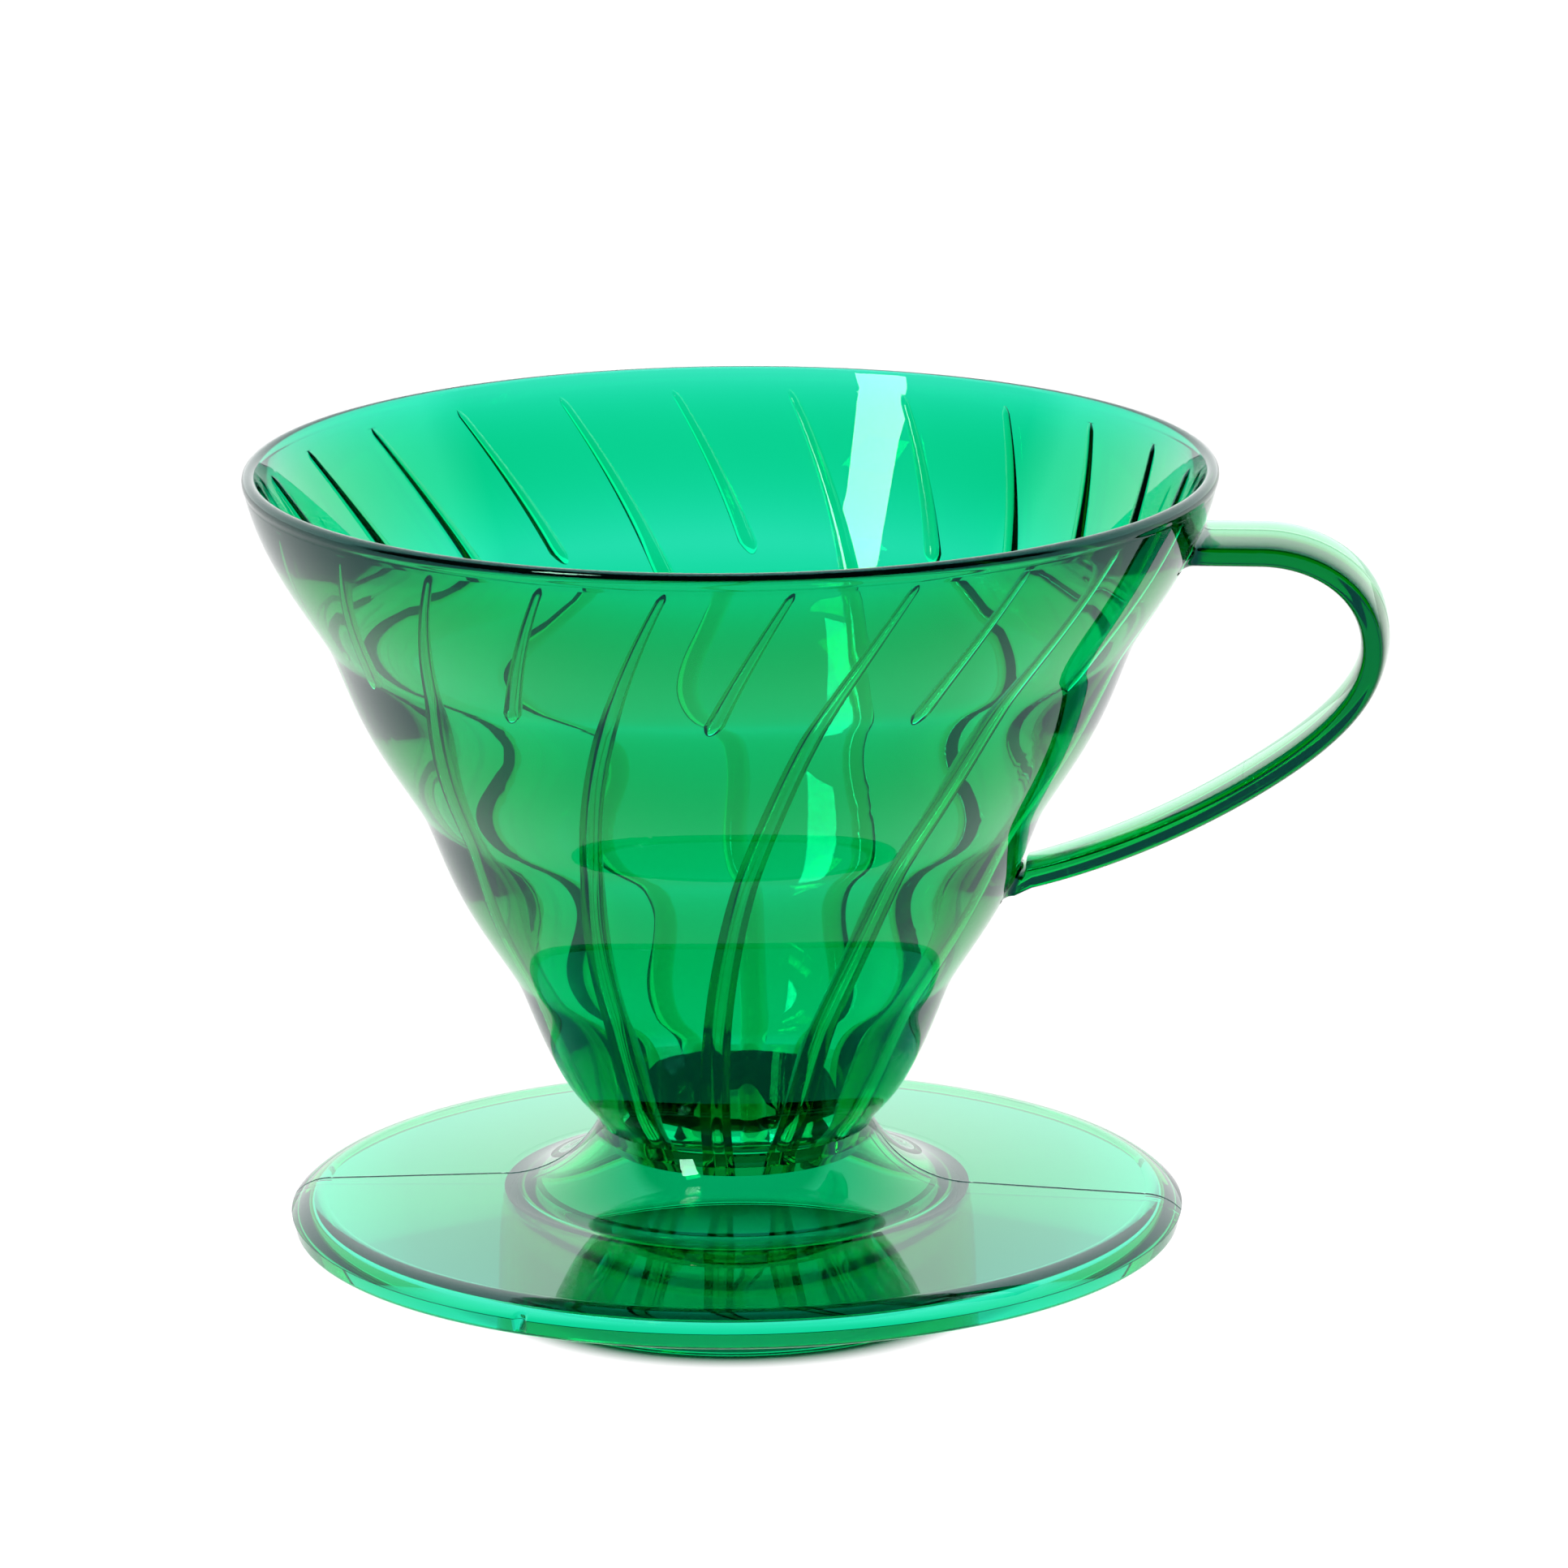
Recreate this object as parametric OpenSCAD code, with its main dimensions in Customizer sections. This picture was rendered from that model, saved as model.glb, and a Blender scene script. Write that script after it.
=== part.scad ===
// Pour over dripper: a one-piece clear plastic moulding.
// A rippled cone with spiral ribs inside stands on a saucer with a locating ring,
// and a strap handle joins the cone under the rim and again halfway down.
// Origin: centre of the locating ring's foot. +Z up, handle along +X, millimetres.

/* [Rim and height] */
// Outside diameter of the rim bead
rim_d = 116; // [100:1:140]
// Height from the ring's foot to the top of the rim
total_h = 102; // [88:1:124]
// Radial width of the rim bead
bead_w = 2.4; // [1.8:0.1:3.2]
// Height of the rim bead
bead_h = 2.0; // [1.6:0.1:3]
// How far the bead stands proud of the wall under it
bead_proud = 0.45; // [0.2:0.05:0.8]

/* [Cone wall] */
// Inside diameter of the outlet
outlet_d = 24.6; // [18:0.2:30]
// Height of the outlet's face above the ring's foot
outlet_z = 17.3; // [16.5:0.1:20]
// Wall thickness in the valleys between the bands
wall = 2.0; // [1.4:0.1:3]
// Radial wall thickness of the outlet collar
collar_wall = 1.9; // [1.4:0.1:3]
// Height from one valley to the next
band_pitch = 21; // [14:1:30]
// Height from the top valley to the underside of the bead
band_top = 18.5; // [12:0.5:26]
// Crown of each band above its two valleys
band_bulge = 0.9; // [0.4:0.05:1.6]
// Half-height of the rounding in each valley
valley_soft = 1.0; // [0.5:0.1:2]
// Height above the outlet at which the cone starts to tuck in
tuck_h = 10; // [7:0.5:14]
// Radius of that tuck
tuck_r = 11.6; // [8:0.2:20]

/* [Spiral ribs] */
// Number of long ribs; as many short ribs stand between them
rib_n = 12; // [8:1:14]
// Turn of a long rib from its tip to the outlet, in degrees
rib_turn = 31; // [10:1:50]
// Bend of the spiral: 1 turns evenly, more turns faster near the rim
rib_bend = 1.6; // [1:0.1:2.2]
// Direction of the first long rib's tip from +X, in degrees
rib_start = -2; // [-15:1:15]
// Distance of the rib tips below the top of the rim
rib_tip_drop = 2.5; // [2:0.1:6]
// Height of a short rib
short_rib_h = 18.8; // [12:0.2:30]
// Width of a rib at the outlet
rib_w = 3.0; // [2:0.1:4]
// Height of a rib at the outlet
rib_h = 1.8; // [1:0.1:2.6]

/* [Base] */
// Diameter of the saucer at its sharp outer edge
saucer_d = 107.6; // [90:0.2:130]
// Outside diameter of the locating ring
ring_d = 56; // [46:0.5:66]
// Wall thickness of the locating ring
ring_wall = 2.0; // [1.5:0.1:3]
// Height of the locating ring, from its foot to the saucer's underside
ring_h = 11.2; // [9:0.1:12]
// Thickness of the saucer at the hub
hub_t = 2.6; // [2:0.1:3.5]
// Thickness of the saucer at the shoulder
shoulder_t = 1.6; // [1.2:0.1:2]
// Radius of the shoulder at the saucer's edge
shoulder_r = 6; // [5:0.5:9]
// Width of the shoulder
shoulder_w = 4.4; // [3:0.1:4.8]
// Drop of the lip's foot below the saucer's underside
lip_drop = 2.3; // [1.5:0.1:4]
// Thickness of the lip
lip_t = 1.9; // [1.4:0.1:2.6]
// Radius of the hollow curve between cone and saucer
cove_r = 13.2; // [11:0.2:15]
// Wall thickness of the hollow skirt
skirt_wall = 2.1; // [1.6:0.1:2.6]

/* [Handle] */
// Width of the strap at the top arm
strap_w = 15; // [10:0.5:20]
// Width of the strap where the lower arm meets the cone
strap_low_w = 8; // [6:0.5:12]
// Thickness of the strap at its crown
strap_t = 3.4; // [2.6:0.1:5]
// Clear reach of the strap's centreline beyond the rim
handle_reach = 18.6; // [14:0.2:30]
// Drop of the top arm's centreline below the top of the rim
arm_drop = 8.7; // [7:0.1:12]
// Height of the bow's outermost point below the top arm
bow_drop = 11.3; // [9:0.1:16]
// Height from the top arm down to the lower root
root_drop = 41.3; // [34:0.1:50]
// How far each root spreads where it runs into the cone, as a multiple of the strap
root_flare = 1.3; // [1.1:0.05:1.5]

/* [Hidden] */
$fn = 96;
green = [0.05, 0.62, 0.36];

rim_r = rim_d / 2;
outlet_r = outlet_d / 2;
ring_r = ring_d / 2;
saucer_r = saucer_d / 2;
mouth_r = rim_r - bead_w;               // inside radius of the mouth
bead_z = total_h - bead_h;              // underside of the bead
cone_slope = (mouth_r - outlet_r) / (bead_z - outlet_z);
cone_angle = atan(cone_slope);
top_valley_z = bead_z - band_top;
tuck_z = outlet_z + tuck_h;
hub_z = ring_h + hub_t;                 // top of the saucer at the hub
shoulder_z = ring_h + shoulder_t;       // top of the saucer at the shoulder
cove_x = ring_r + 0.5;                  // axis of the hollow curve
cove_z = hub_z + cove_r;
collar_min = 0.8;                       // least height of the collar under the skirt
skirt_meet = cove_x - cone_r(outlet_z + 2) - collar_wall;
collar_z = max(outlet_z + collar_min, cove_z - sqrt(pow(cove_r + skirt_wall, 2) - pow(skirt_meet, 2)));
shoulder_x = saucer_r - shoulder_w;     // radius where the shoulder starts

// ---- Cone ------------------------------------------------------------

// Inside radius of the smooth cone at height z
function cone_r(z) = outlet_r + (z - outlet_z) * cone_slope;

// Crown of the rippled wall: zero in a valley, band_bulge midway between two
function crown(z) =
    let (turn = (z - top_valley_z) / band_pitch)
    let (off = abs(turn - round(turn)) * band_pitch)
    let (u = 1 - sqrt(off * off + valley_soft * valley_soft) / (band_pitch / 2))
    band_bulge * (1 - u * u);

// How far the lowest band is drawn in towards the waist
function tuck(z) = z < tuck_z ? pow(tuck_z - z, 2) / (2 * tuck_r) : 0;

// Outside radius of the cone at height z
function outer_r(z) =
    let (rippled = cone_r(z) + (wall + crown(z)) / cos(cone_angle) - tuck(z))
    min(max(rippled, cone_r(z) + collar_wall), rim_r - bead_proud);

wall_steps = 72;
function wall_z(i) = collar_z + (bead_z - collar_z) * i / wall_steps;
outer_line = [for (i = [0:wall_steps]) [outer_r(wall_z(i)), wall_z(i)]];
stub_line = [[outlet_r + collar_wall, outlet_z]];

module cone_wall() {
    color(green)
        rotate_extrude()
            polygon(concat([[mouth_r, bead_z], [cone_r(collar_z), collar_z]], outer_line));
}

// The solid that fills the cone out to its outside face
module cone_envelope() {
    rotate_extrude()
        polygon(concat([[0, bead_z], [0, outlet_z]], stub_line, outer_line));
}

module outlet_collar() {
    color(green)
        rotate_extrude()
            polygon([
                [outlet_r, outlet_z],
                stub_line[0],
                outer_line[0],
                [cone_r(collar_z), collar_z]
            ]);
}

module rim_bead() {
    round_r = bead_w / 2;
    color(green)
        rotate_extrude()
            polygon(concat(
                [[mouth_r, bead_z], [rim_r - bead_proud, bead_z], [rim_r, bead_z + 0.35]],
                [for (a = [0:15:180]) [mouth_r + round_r * (1 + cos(a)), total_h - round_r * (1 - sin(a))]]
            ));
}

// ---- Spiral ribs -----------------------------------------------------

rib_tip_z = total_h - rib_tip_drop;

// Direction of a rib's ridge at height z, measured from its tip
function rib_angle(z) = -rib_turn * (1 - pow((z - outlet_z) / (rib_tip_z - outlet_z), rib_bend));

// Fullness of a rib: from a point at the tip to its full size lower down
function rib_full(z) = sqrt(min((rib_tip_z - z + 0.05) / 14, 1));

// One rib's cross-section at height z, shrunk by end near a rounded foot
function rib_ring(z, end) =
    let (low = (rib_tip_z - z) / (rib_tip_z - outlet_z))
    let (w = rib_full(z) * end * rib_w * (0.75 + 0.25 * low))
    let (h = rib_full(z) * end * rib_h * (0.55 + 0.45 * low) / cos(cone_angle))
    [for (s = [[-0.5, 0], [-0.36, 0.62], [-0.14, 1], [0.14, 1], [0.36, 0.62], [0.5, 0]])
        let (r = cone_r(z) - s[1] * h - 0.02)
        let (a = rib_angle(z) + s[0] * w / cone_r(z) * 180 / PI)
        [r * cos(a), r * sin(a), z]];

// A closed solid through rings of points, first ring to last
module skin(rings) {
    n = len(rings[0]);
    last = len(rings) - 1;
    sides = [for (i = [0:last - 1], j = [0:n - 1]) let (k = (j + 1) % n)
        each [[i * n + j, i * n + k, (i + 1) * n + k], [i * n + j, (i + 1) * n + k, (i + 1) * n + j]]];
    polyhedron(
        points = [for (ring = rings, p = ring) p],
        faces = concat(sides, [[for (j = [n - 1:-1:0]) j]], [[for (j = [0:n - 1]) last * n + j]])
    );
}

module long_spiral_ribs() {
    steps = 20;
    color(green)
        for (k = [0:rib_n - 1])
            rotate([0, 0, rib_start + k * 360 / rib_n])
                skin([for (i = [0:steps])
                    rib_ring(outlet_z + (rib_tip_z - outlet_z) * (1 - pow(1 - i / steps, 1.5)), 1)]);
}

module short_spiral_ribs() {
    steps = 10;
    foot_z = rib_tip_z - short_rib_h;
    color(green)
        for (k = [0:rib_n - 1])
            rotate([0, 0, rib_start + (k + 0.5) * 360 / rib_n])
                skin([for (i = [0:steps])
                    let (t = (1 - cos(180 * i / steps)) / 2)
                    rib_ring(foot_z + short_rib_h * t, min(1, 0.25 + 7 * t))]);
}

// ---- Base ------------------------------------------------------------

function arc(cx, cz, r, from, to, steps) =
    [for (i = [0:steps]) let (a = from + (to - from) * i / steps) [cx + r * cos(a), cz + r * sin(a)]];

ring_in_r = ring_r - ring_wall;
skirt_in_r = cove_r + skirt_wall;
skirt_foot_a = 270 - asin((cove_x - ring_in_r) / skirt_in_r);

module base_skirt() {
    color(green)
        difference() {
            rotate_extrude()
                polygon(concat(
                    arc(cove_x, cove_z, cove_r, 270, 192, 20),
                    arc(cove_x, cove_z, skirt_in_r, 196, skirt_foot_a, 16),
                    [[ring_in_r, ring_h], [cove_x, ring_h]]
                ));
            cone_envelope();
        }
}

module saucer_plate() {
    color(green)
        rotate_extrude()
            polygon([
                [cove_x, ring_h],
                [shoulder_x, ring_h],
                [shoulder_x, shoulder_z],
                [cove_x, hub_z]
            ]);
}

module saucer_lip() {
    edge_a = acos(shoulder_w / shoulder_r);
    edge_z = shoulder_z - shoulder_r * (1 - sin(edge_a));
    step = 0.15;                        // the lower band stands back from the edge
    draft = 0.3;                        // and leans in towards its foot
    foot_z = ring_h - lip_drop;
    foot_r = saucer_r - step - draft;
    color(green)
        rotate_extrude()
            polygon(concat(
                [[shoulder_x, ring_h]],
                arc(shoulder_x, shoulder_z - shoulder_r, shoulder_r, 90, edge_a, 12),
                [
                    [saucer_r - step, edge_z],
                    [foot_r, foot_z + 0.4],
                    [foot_r - 0.4, foot_z],
                    [foot_r - lip_t, foot_z],
                    [foot_r - lip_t - 0.3, ring_h]
                ]
            ));
}

module locating_ring() {
    color(green)
        difference() {
            cylinder(h = ring_h, r = ring_r);
            translate([0, 0, -1])
                cylinder(h = ring_h + 2, r = ring_in_r);
        }
}

// ---- Handle ----------------------------------------------------------

arm_z = total_h - arm_drop;
arm_x = rim_r + 5;                      // where the straight top arm starts to bend
bow_x = rim_r + handle_reach;
bow_z = arm_z - bow_drop;
root_z = arm_z - root_drop;
root_x = outer_r(root_z) - 1;           // just inside the cone's outside face
elbow = [arm_x - 1, arm_z - 28.7];      // where the bow runs into the lower arm

function bezier(p, t) =
    pow(1 - t, 3) * p[0] + 3 * pow(1 - t, 2) * t * p[1] + 3 * (1 - t) * t * t * p[2] + pow(t, 3) * p[3];
function bezier_dir(p, t) =
    pow(1 - t, 2) * (p[1] - p[0]) + 2 * (1 - t) * t * (p[2] - p[1]) + t * t * (p[3] - p[2]);

// The handle's centreline in the XZ plane, as four curves
arm_curve = [[rim_r - 8, arm_z], [rim_r - 3, arm_z], [rim_r + 2, arm_z], [arm_x, arm_z]];
bow_top = [[arm_x, arm_z], [arm_x + 7.5, arm_z], [bow_x, bow_z + 6.8], [bow_x, bow_z]];
bow_low = [[bow_x, bow_z], [bow_x, bow_z - 6.5], [elbow[0] + 8.5, elbow[1] + 5.4], elbow];
low_curve = [elbow, elbow - [8, 5.1], [root_x + 10.4, root_z + 2.3], [root_x - 1.1, root_z - 0.2]];

// Cross-section of the strap: a crowned form with soft edges, square to the curve
strap_power = 2 / 3;
skin_gap = 0.04;                        // keeps a root's flat facets clear of the round cone
function signed_pow(v) = sign(v) * pow(abs(v), strap_power);
function strap_ring(p, dir, w) =
    let (n = [-dir[1], dir[0]] / norm(dir))
    [for (a = [360:-22.5:1])
        let (out = signed_pow(sin(a)) * strap_t / 2)
        [p[0] + n[0] * out, signed_pow(cos(a)) * w / 2, p[1] + n[1] * out]];

// A stretch of the strap along one curve, from t0 to t1, with its width going from w0 to w1
function strap(curve, t0, t1, w0, w1, steps) =
    [for (i = [0:steps]) let (s = i / steps) let (t = t0 + (t1 - t0) * s)
        strap_ring(bezier(curve, t), bezier_dir(curve, t), w0 + (w1 - w0) * s)];

// Widths at the joints between the stretches
bow_w = strap_w - 1.5;
elbow_w = (strap_w + strap_low_w) / 2;
stub_t = 0.62;                          // where the upper root's stub ends on the arm
low_t = 0.76;                           // where the lower root's stub starts on the lower arm
low_stub_w = strap_low_w + 0.5;

module handle_upper_arm() {
    color(green)
        skin(strap(arm_curve, stub_t, 1, strap_w, strap_w, 2));
}

module handle_grip_bow() {
    color(green)
        skin(concat(
            strap(bow_top, 0, 1, strap_w, bow_w, 14),
            [for (i = [1:14]) strap(bow_low, 0, 1, bow_w, elbow_w, 14)[i]]
        ));
}

module handle_lower_arm() {
    color(green)
        skin(strap(low_curve, 0, low_t, elbow_w, low_stub_w, 12));
}

// A ring of a stub laid onto the cone's outside face, t clear of it, and grown about its middle
function rooted_ring(ring, t, grow) =
    let (mid_z = (ring[4][2] + ring[12][2]) / 2)
    [for (p = ring)
        let (y = p[1] * grow)
        let (z = mid_z + (p[2] - mid_z) * grow)
        let (r = outer_r(z) + t)
        [sqrt(r * r - y * y), y, z]];

// The rings that spread a stub's last cross-section onto the cone's outside face
function flare(foot) = [
    rooted_ring(foot, 1.0, 1 + (root_flare - 1) * 0.1),
    rooted_ring(foot, 0.35, 1 + (root_flare - 1) * 0.45),
    rooted_ring(foot, skin_gap, root_flare),
    rooted_ring(foot, skin_gap, root_flare * 0.5),
    rooted_ring(foot, skin_gap, 0.02)
];

module handle_upper_root() {
    stub = strap(arm_curve, stub_t, stub_t - 0.1, strap_w, strap_w, 1);
    color(green)
        skin([for (ring = concat(stub, flare(stub[1]))) [for (i = [len(ring) - 1:-1:0]) ring[i]]]);
}

module handle_lower_root() {
    stub = strap(low_curve, low_t, low_t + 0.09, low_stub_w, strap_low_w, 1);
    foot = strap(low_curve, 0.95, 1, strap_low_w, strap_low_w, 1)[1];
    color(green)
        skin(concat(stub, flare(foot)));
}

cone_wall();
rim_bead();
long_spiral_ribs();
short_spiral_ribs();
outlet_collar();
base_skirt();
saucer_plate();
saucer_lip();
locating_ring();
handle_upper_root();
handle_upper_arm();
handle_grip_bow();
handle_lower_arm();
handle_lower_root();
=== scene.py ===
"""A pour over dripper moulded in one piece from clear green plastic.

The moulding is built as the sub-parts that its maker would name: a rippled cone wall, a rim
bead, spiral ribs, an outlet collar, a hollow skirt, a saucer with its lip, a locating ring and
a strap handle. Each is a closed mesh of its own. Where two of them meet inside the plastic,
their touching faces carry the attribute "joint", which the material reads to leave the light
undisturbed, because the real object has no surface there.

Lengths are in millimetres until a mesh is made, and angles are in radians.
"""

import logging
import math
from dataclasses import dataclass
from enum import Enum

import bpy
import numpy as np
from mathutils import Matrix, Vector


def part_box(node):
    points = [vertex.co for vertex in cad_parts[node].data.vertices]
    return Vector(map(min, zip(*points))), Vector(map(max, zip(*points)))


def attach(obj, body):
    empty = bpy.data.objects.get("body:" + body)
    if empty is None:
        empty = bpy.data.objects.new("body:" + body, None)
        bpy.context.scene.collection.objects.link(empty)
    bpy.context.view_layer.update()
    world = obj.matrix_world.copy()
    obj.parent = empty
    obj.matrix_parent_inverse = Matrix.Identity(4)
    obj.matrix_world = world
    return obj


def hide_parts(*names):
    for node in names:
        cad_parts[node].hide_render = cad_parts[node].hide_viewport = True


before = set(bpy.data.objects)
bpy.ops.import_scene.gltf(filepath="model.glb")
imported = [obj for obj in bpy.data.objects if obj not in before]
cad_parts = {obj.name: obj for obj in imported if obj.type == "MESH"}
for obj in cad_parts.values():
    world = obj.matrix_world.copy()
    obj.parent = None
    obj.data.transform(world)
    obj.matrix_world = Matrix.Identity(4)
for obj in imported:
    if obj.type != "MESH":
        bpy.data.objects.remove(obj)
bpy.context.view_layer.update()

LOG = logging.getLogger("dripper")
MM = 0.001
BODY = "root"
JOINT_GAP = 0.004  # between two sub-parts of the moulding, in millimetres
HAIR = 1e-6  # for comparing two heights that should be the same
CREASE = math.radians(32)  # an edge that turns by more than this is sharp
JOINT, BARE = 1.0, -1.0  # marks of a face inside the plastic and of one on its surface
ROUND = 480  # points round a turned piece
WHITE = (1.0, 1.0, 1.0, 1.0)


# --- Meshes ---


def placed(name: str, data: bpy.types.ID) -> bpy.types.Object:
    """Makes an object from its data and links it into the scene.

    Args:
        name: Name of the object.
        data: Its mesh, camera or lamp.

    Returns:
        The object.
    """
    made = bpy.data.objects.new(name, data)
    bpy.context.scene.collection.objects.link(made)
    return made


@dataclass
class Skin:
    """Points, faces and joint marks of one closed mesh.

    Attributes:
        points: Array of n by 3 positions in millimetres.
        quads: Array of m by 4 point numbers, counter-clockwise seen from outside.
        joint: Array of m by 4 marks, above zero where the plastic goes on into a neighbour.
        caps: Lists of point numbers that close open ends.
        cap_joint: One mark for each cap.
    """

    points: np.ndarray
    quads: np.ndarray
    joint: np.ndarray
    caps: list[list[int]]
    cap_joint: list[float]

    def joined(self, other: "Skin") -> "Skin":
        """Returns this skin and another as one, for solids that share a piece.

        Args:
            other: The skin to add.

        Returns:
            One skin with the faces of both.
        """
        shift = len(self.points)
        return Skin(
            np.vstack([self.points, other.points]),
            np.vstack([self.quads, other.quads + shift]),
            np.vstack([self.joint, other.joint]),
            self.caps + [[i + shift for i in cap] for cap in other.caps],
            self.cap_joint + other.cap_joint,
        )

    def piece(self, name: str, finish: bpy.types.Material, node: str) -> None:
        """Makes the Blender object, which rides on the body and stands for a CAD node.

        Args:
            name: Name of the object and its mesh.
            finish: Material of every face.
            node: CAD node that it replaces.
        """
        mesh = bpy.data.meshes.new(name)
        mesh.from_pydata((self.points * MM).tolist(), [], self.quads.tolist() + self.caps)
        mesh.update()
        cap_marks = [np.full(len(cap), mark) for cap, mark in zip(self.caps, self.cap_joint)]
        marks = np.concatenate([self.joint.reshape(-1), *cap_marks])
        layer = mesh.attributes.new("joint", "FLOAT", "CORNER")
        layer.data.foreach_set("value", marks.astype(np.float32))
        mesh.shade_smooth()
        mesh.set_sharp_from_angle(angle=CREASE)
        mesh.materials.append(finish)
        made = placed(name, mesh)
        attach(made, BODY)
        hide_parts(node)
        LOG.info("%s: %d faces, stands for %s", name, len(mesh.polygons), node)


def grid_quads(rows: int, cols: int, wrap_rows: bool, wrap_cols: bool) -> np.ndarray:
    """Numbers the quads of a grid of points, row by row.

    Each quad runs along its row first and then on to the next row, so the outside is at the
    cross product of those two directions.

    Args:
        rows: Number of rows of points.
        cols: Number of points in a row.
        wrap_rows: Whether the last row joins the first.
        wrap_cols: Whether the last point of a row joins its first.

    Returns:
        Array of quads by four point numbers.
    """
    i = np.arange(rows if wrap_rows else rows - 1)[:, None]
    j = np.arange(cols if wrap_cols else cols - 1)[None, :]
    i2, j2 = (i + 1) % rows, (j + 1) % cols
    corners = [i * cols + j, i * cols + j2, i2 * cols + j2, i2 * cols + j]
    return np.stack(corners, axis=-1).reshape(-1, 4)


def end_caps(rows: int, cols: int) -> list[list[int]]:
    """Closes the first and the last row of a grid whose rows are wrapped, facing outwards."""
    last = (rows - 1) * cols
    return [list(range(cols))[::-1], list(range(last, last + cols))]


def polar(r: np.ndarray, a: np.ndarray, z: np.ndarray) -> np.ndarray:
    """Points at radius r, angle a and height z, as n by 3, row after row."""
    return np.stack([r * np.cos(a), r * np.sin(a), z], axis=-1).reshape(-1, 3)


def revolve(
    section: np.ndarray,
    marks: np.ndarray,
    angles: np.ndarray,
    lift: np.ndarray | float = 0.0,
) -> Skin:
    """Carries a closed section round the axis.

    A point is (r cos a, r sin a, z) for each section point (r, z) and each angle a of its row.

    Args:
        section: Closed outline as k by 2 radii and heights, counter-clockwise.
        marks: k marks, or k by c of them, for the faces from each section point to the next.
        angles: c angles, or k by c of them, one row for each section point.
        lift: Heights to add, one or k by c of them, for fine relief on the surface.

    Returns:
        The closed skin.
    """
    angles = np.broadcast_to(angles, (len(section), angles.shape[-1]))
    points = polar(section[:, :1], angles, np.broadcast_to(section[:, 1:], angles.shape) + lift)
    quads = grid_quads(len(section), angles.shape[1], True, True)
    marks = np.broadcast_to(marks.reshape(len(section), -1), angles.shape)
    return Skin(points, quads, np.repeat(marks.reshape(-1, 1), 4, axis=1), [], [])


def arc(
    centre: tuple[float, float],
    radius: float,
    start: float,
    end: float,
    steps: int,
) -> np.ndarray:
    """Points along a circular arc, from start to end in degrees, ends included."""
    a = np.radians(np.linspace(start, end, steps + 1))
    return np.stack([centre[0] + radius * np.cos(a), centre[1] + radius * np.sin(a)], axis=1)


@dataclass(frozen=True)
class Corner:
    """One corner of a section: its place, its rounding and whether the next edge is a joint."""

    r: float
    z: float
    rounding: float = 0.0
    joint_after: bool = False


def outline(corners: list[Corner], steps: int = 8) -> tuple[np.ndarray, np.ndarray]:
    """Turns corners into a closed outline, with each rounded corner as an arc.

    The arc touches both edges at rounding / tan(half the angle between them) from the corner.

    Args:
        corners: The corners in order, counter-clockwise.
        steps: Chords in each rounded corner.

    Returns:
        The outline's points, and one joint mark for the edge after each.
    """
    points, marks = [], []
    for k, corner in enumerate(corners):
        here = np.array([corner.r, corner.z])
        mark = JOINT if corner.joint_after else BARE
        if not corner.rounding:
            points.append(here)
            marks.append(mark)
            continue
        before, after = corners[k - 1], corners[(k + 1) % len(corners)]
        u = np.array([before.r, before.z]) - here
        v = np.array([after.r, after.z]) - here
        u, v = u / np.linalg.norm(u), v / np.linalg.norm(v)
        half = math.acos(float(np.clip(u @ v, -1, 1))) / 2
        reach = corner.rounding / math.tan(half)
        centre = here + (u + v) / np.linalg.norm(u + v) * corner.rounding / math.sin(half)
        s = np.linspace(0, 1, steps + 1)[:, None]
        start, end = here + u * reach - centre, here + v * reach - centre
        sweep = math.pi - 2 * half
        bow = (np.sin((1 - s) * sweep) * start + np.sin(s * sweep) * end) / math.sin(sweep)
        points.extend(centre + bow)
        marks.extend([BARE] * steps + [mark])
    return np.array(points), np.array(marks)


# --- Shader ---


class Value:
    """A shader value that takes part in Python arithmetic; each operation adds a Math node."""

    def __init__(self, shader: "Shader", socket: bpy.types.NodeSocket) -> None:
        """Wraps a socket of a shader's node tree."""
        self.shader = shader
        self.socket = socket

    def _math(self, operation: str, *inputs: "Value | float") -> "Value":
        """Adds a Math node of one operation on the inputs."""
        return self.shader.node("Math", dict(enumerate(inputs)), operation=operation)

    def __add__(self, other: "Value | float") -> "Value":
        """Sum."""
        return self._math("ADD", self, other)

    __radd__ = __add__

    def __sub__(self, other: "Value | float") -> "Value":
        """Difference."""
        return self._math("SUBTRACT", self, other)

    def __rsub__(self, other: float) -> "Value":
        """Difference, with this value taken away."""
        return self._math("SUBTRACT", other, self)

    def __mul__(self, other: "Value | float") -> "Value":
        """Product."""
        return self._math("MULTIPLY", self, other)

    __rmul__ = __mul__

    def __gt__(self, other: "Value | float") -> "Value":
        """One where this value is the greater, zero elsewhere."""
        return self._math("GREATER_THAN", self, other)

    def clipped(self) -> "Value":
        """This value held between zero and one."""
        return self.shader.node("Clamp", {"Value": self})


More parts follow.
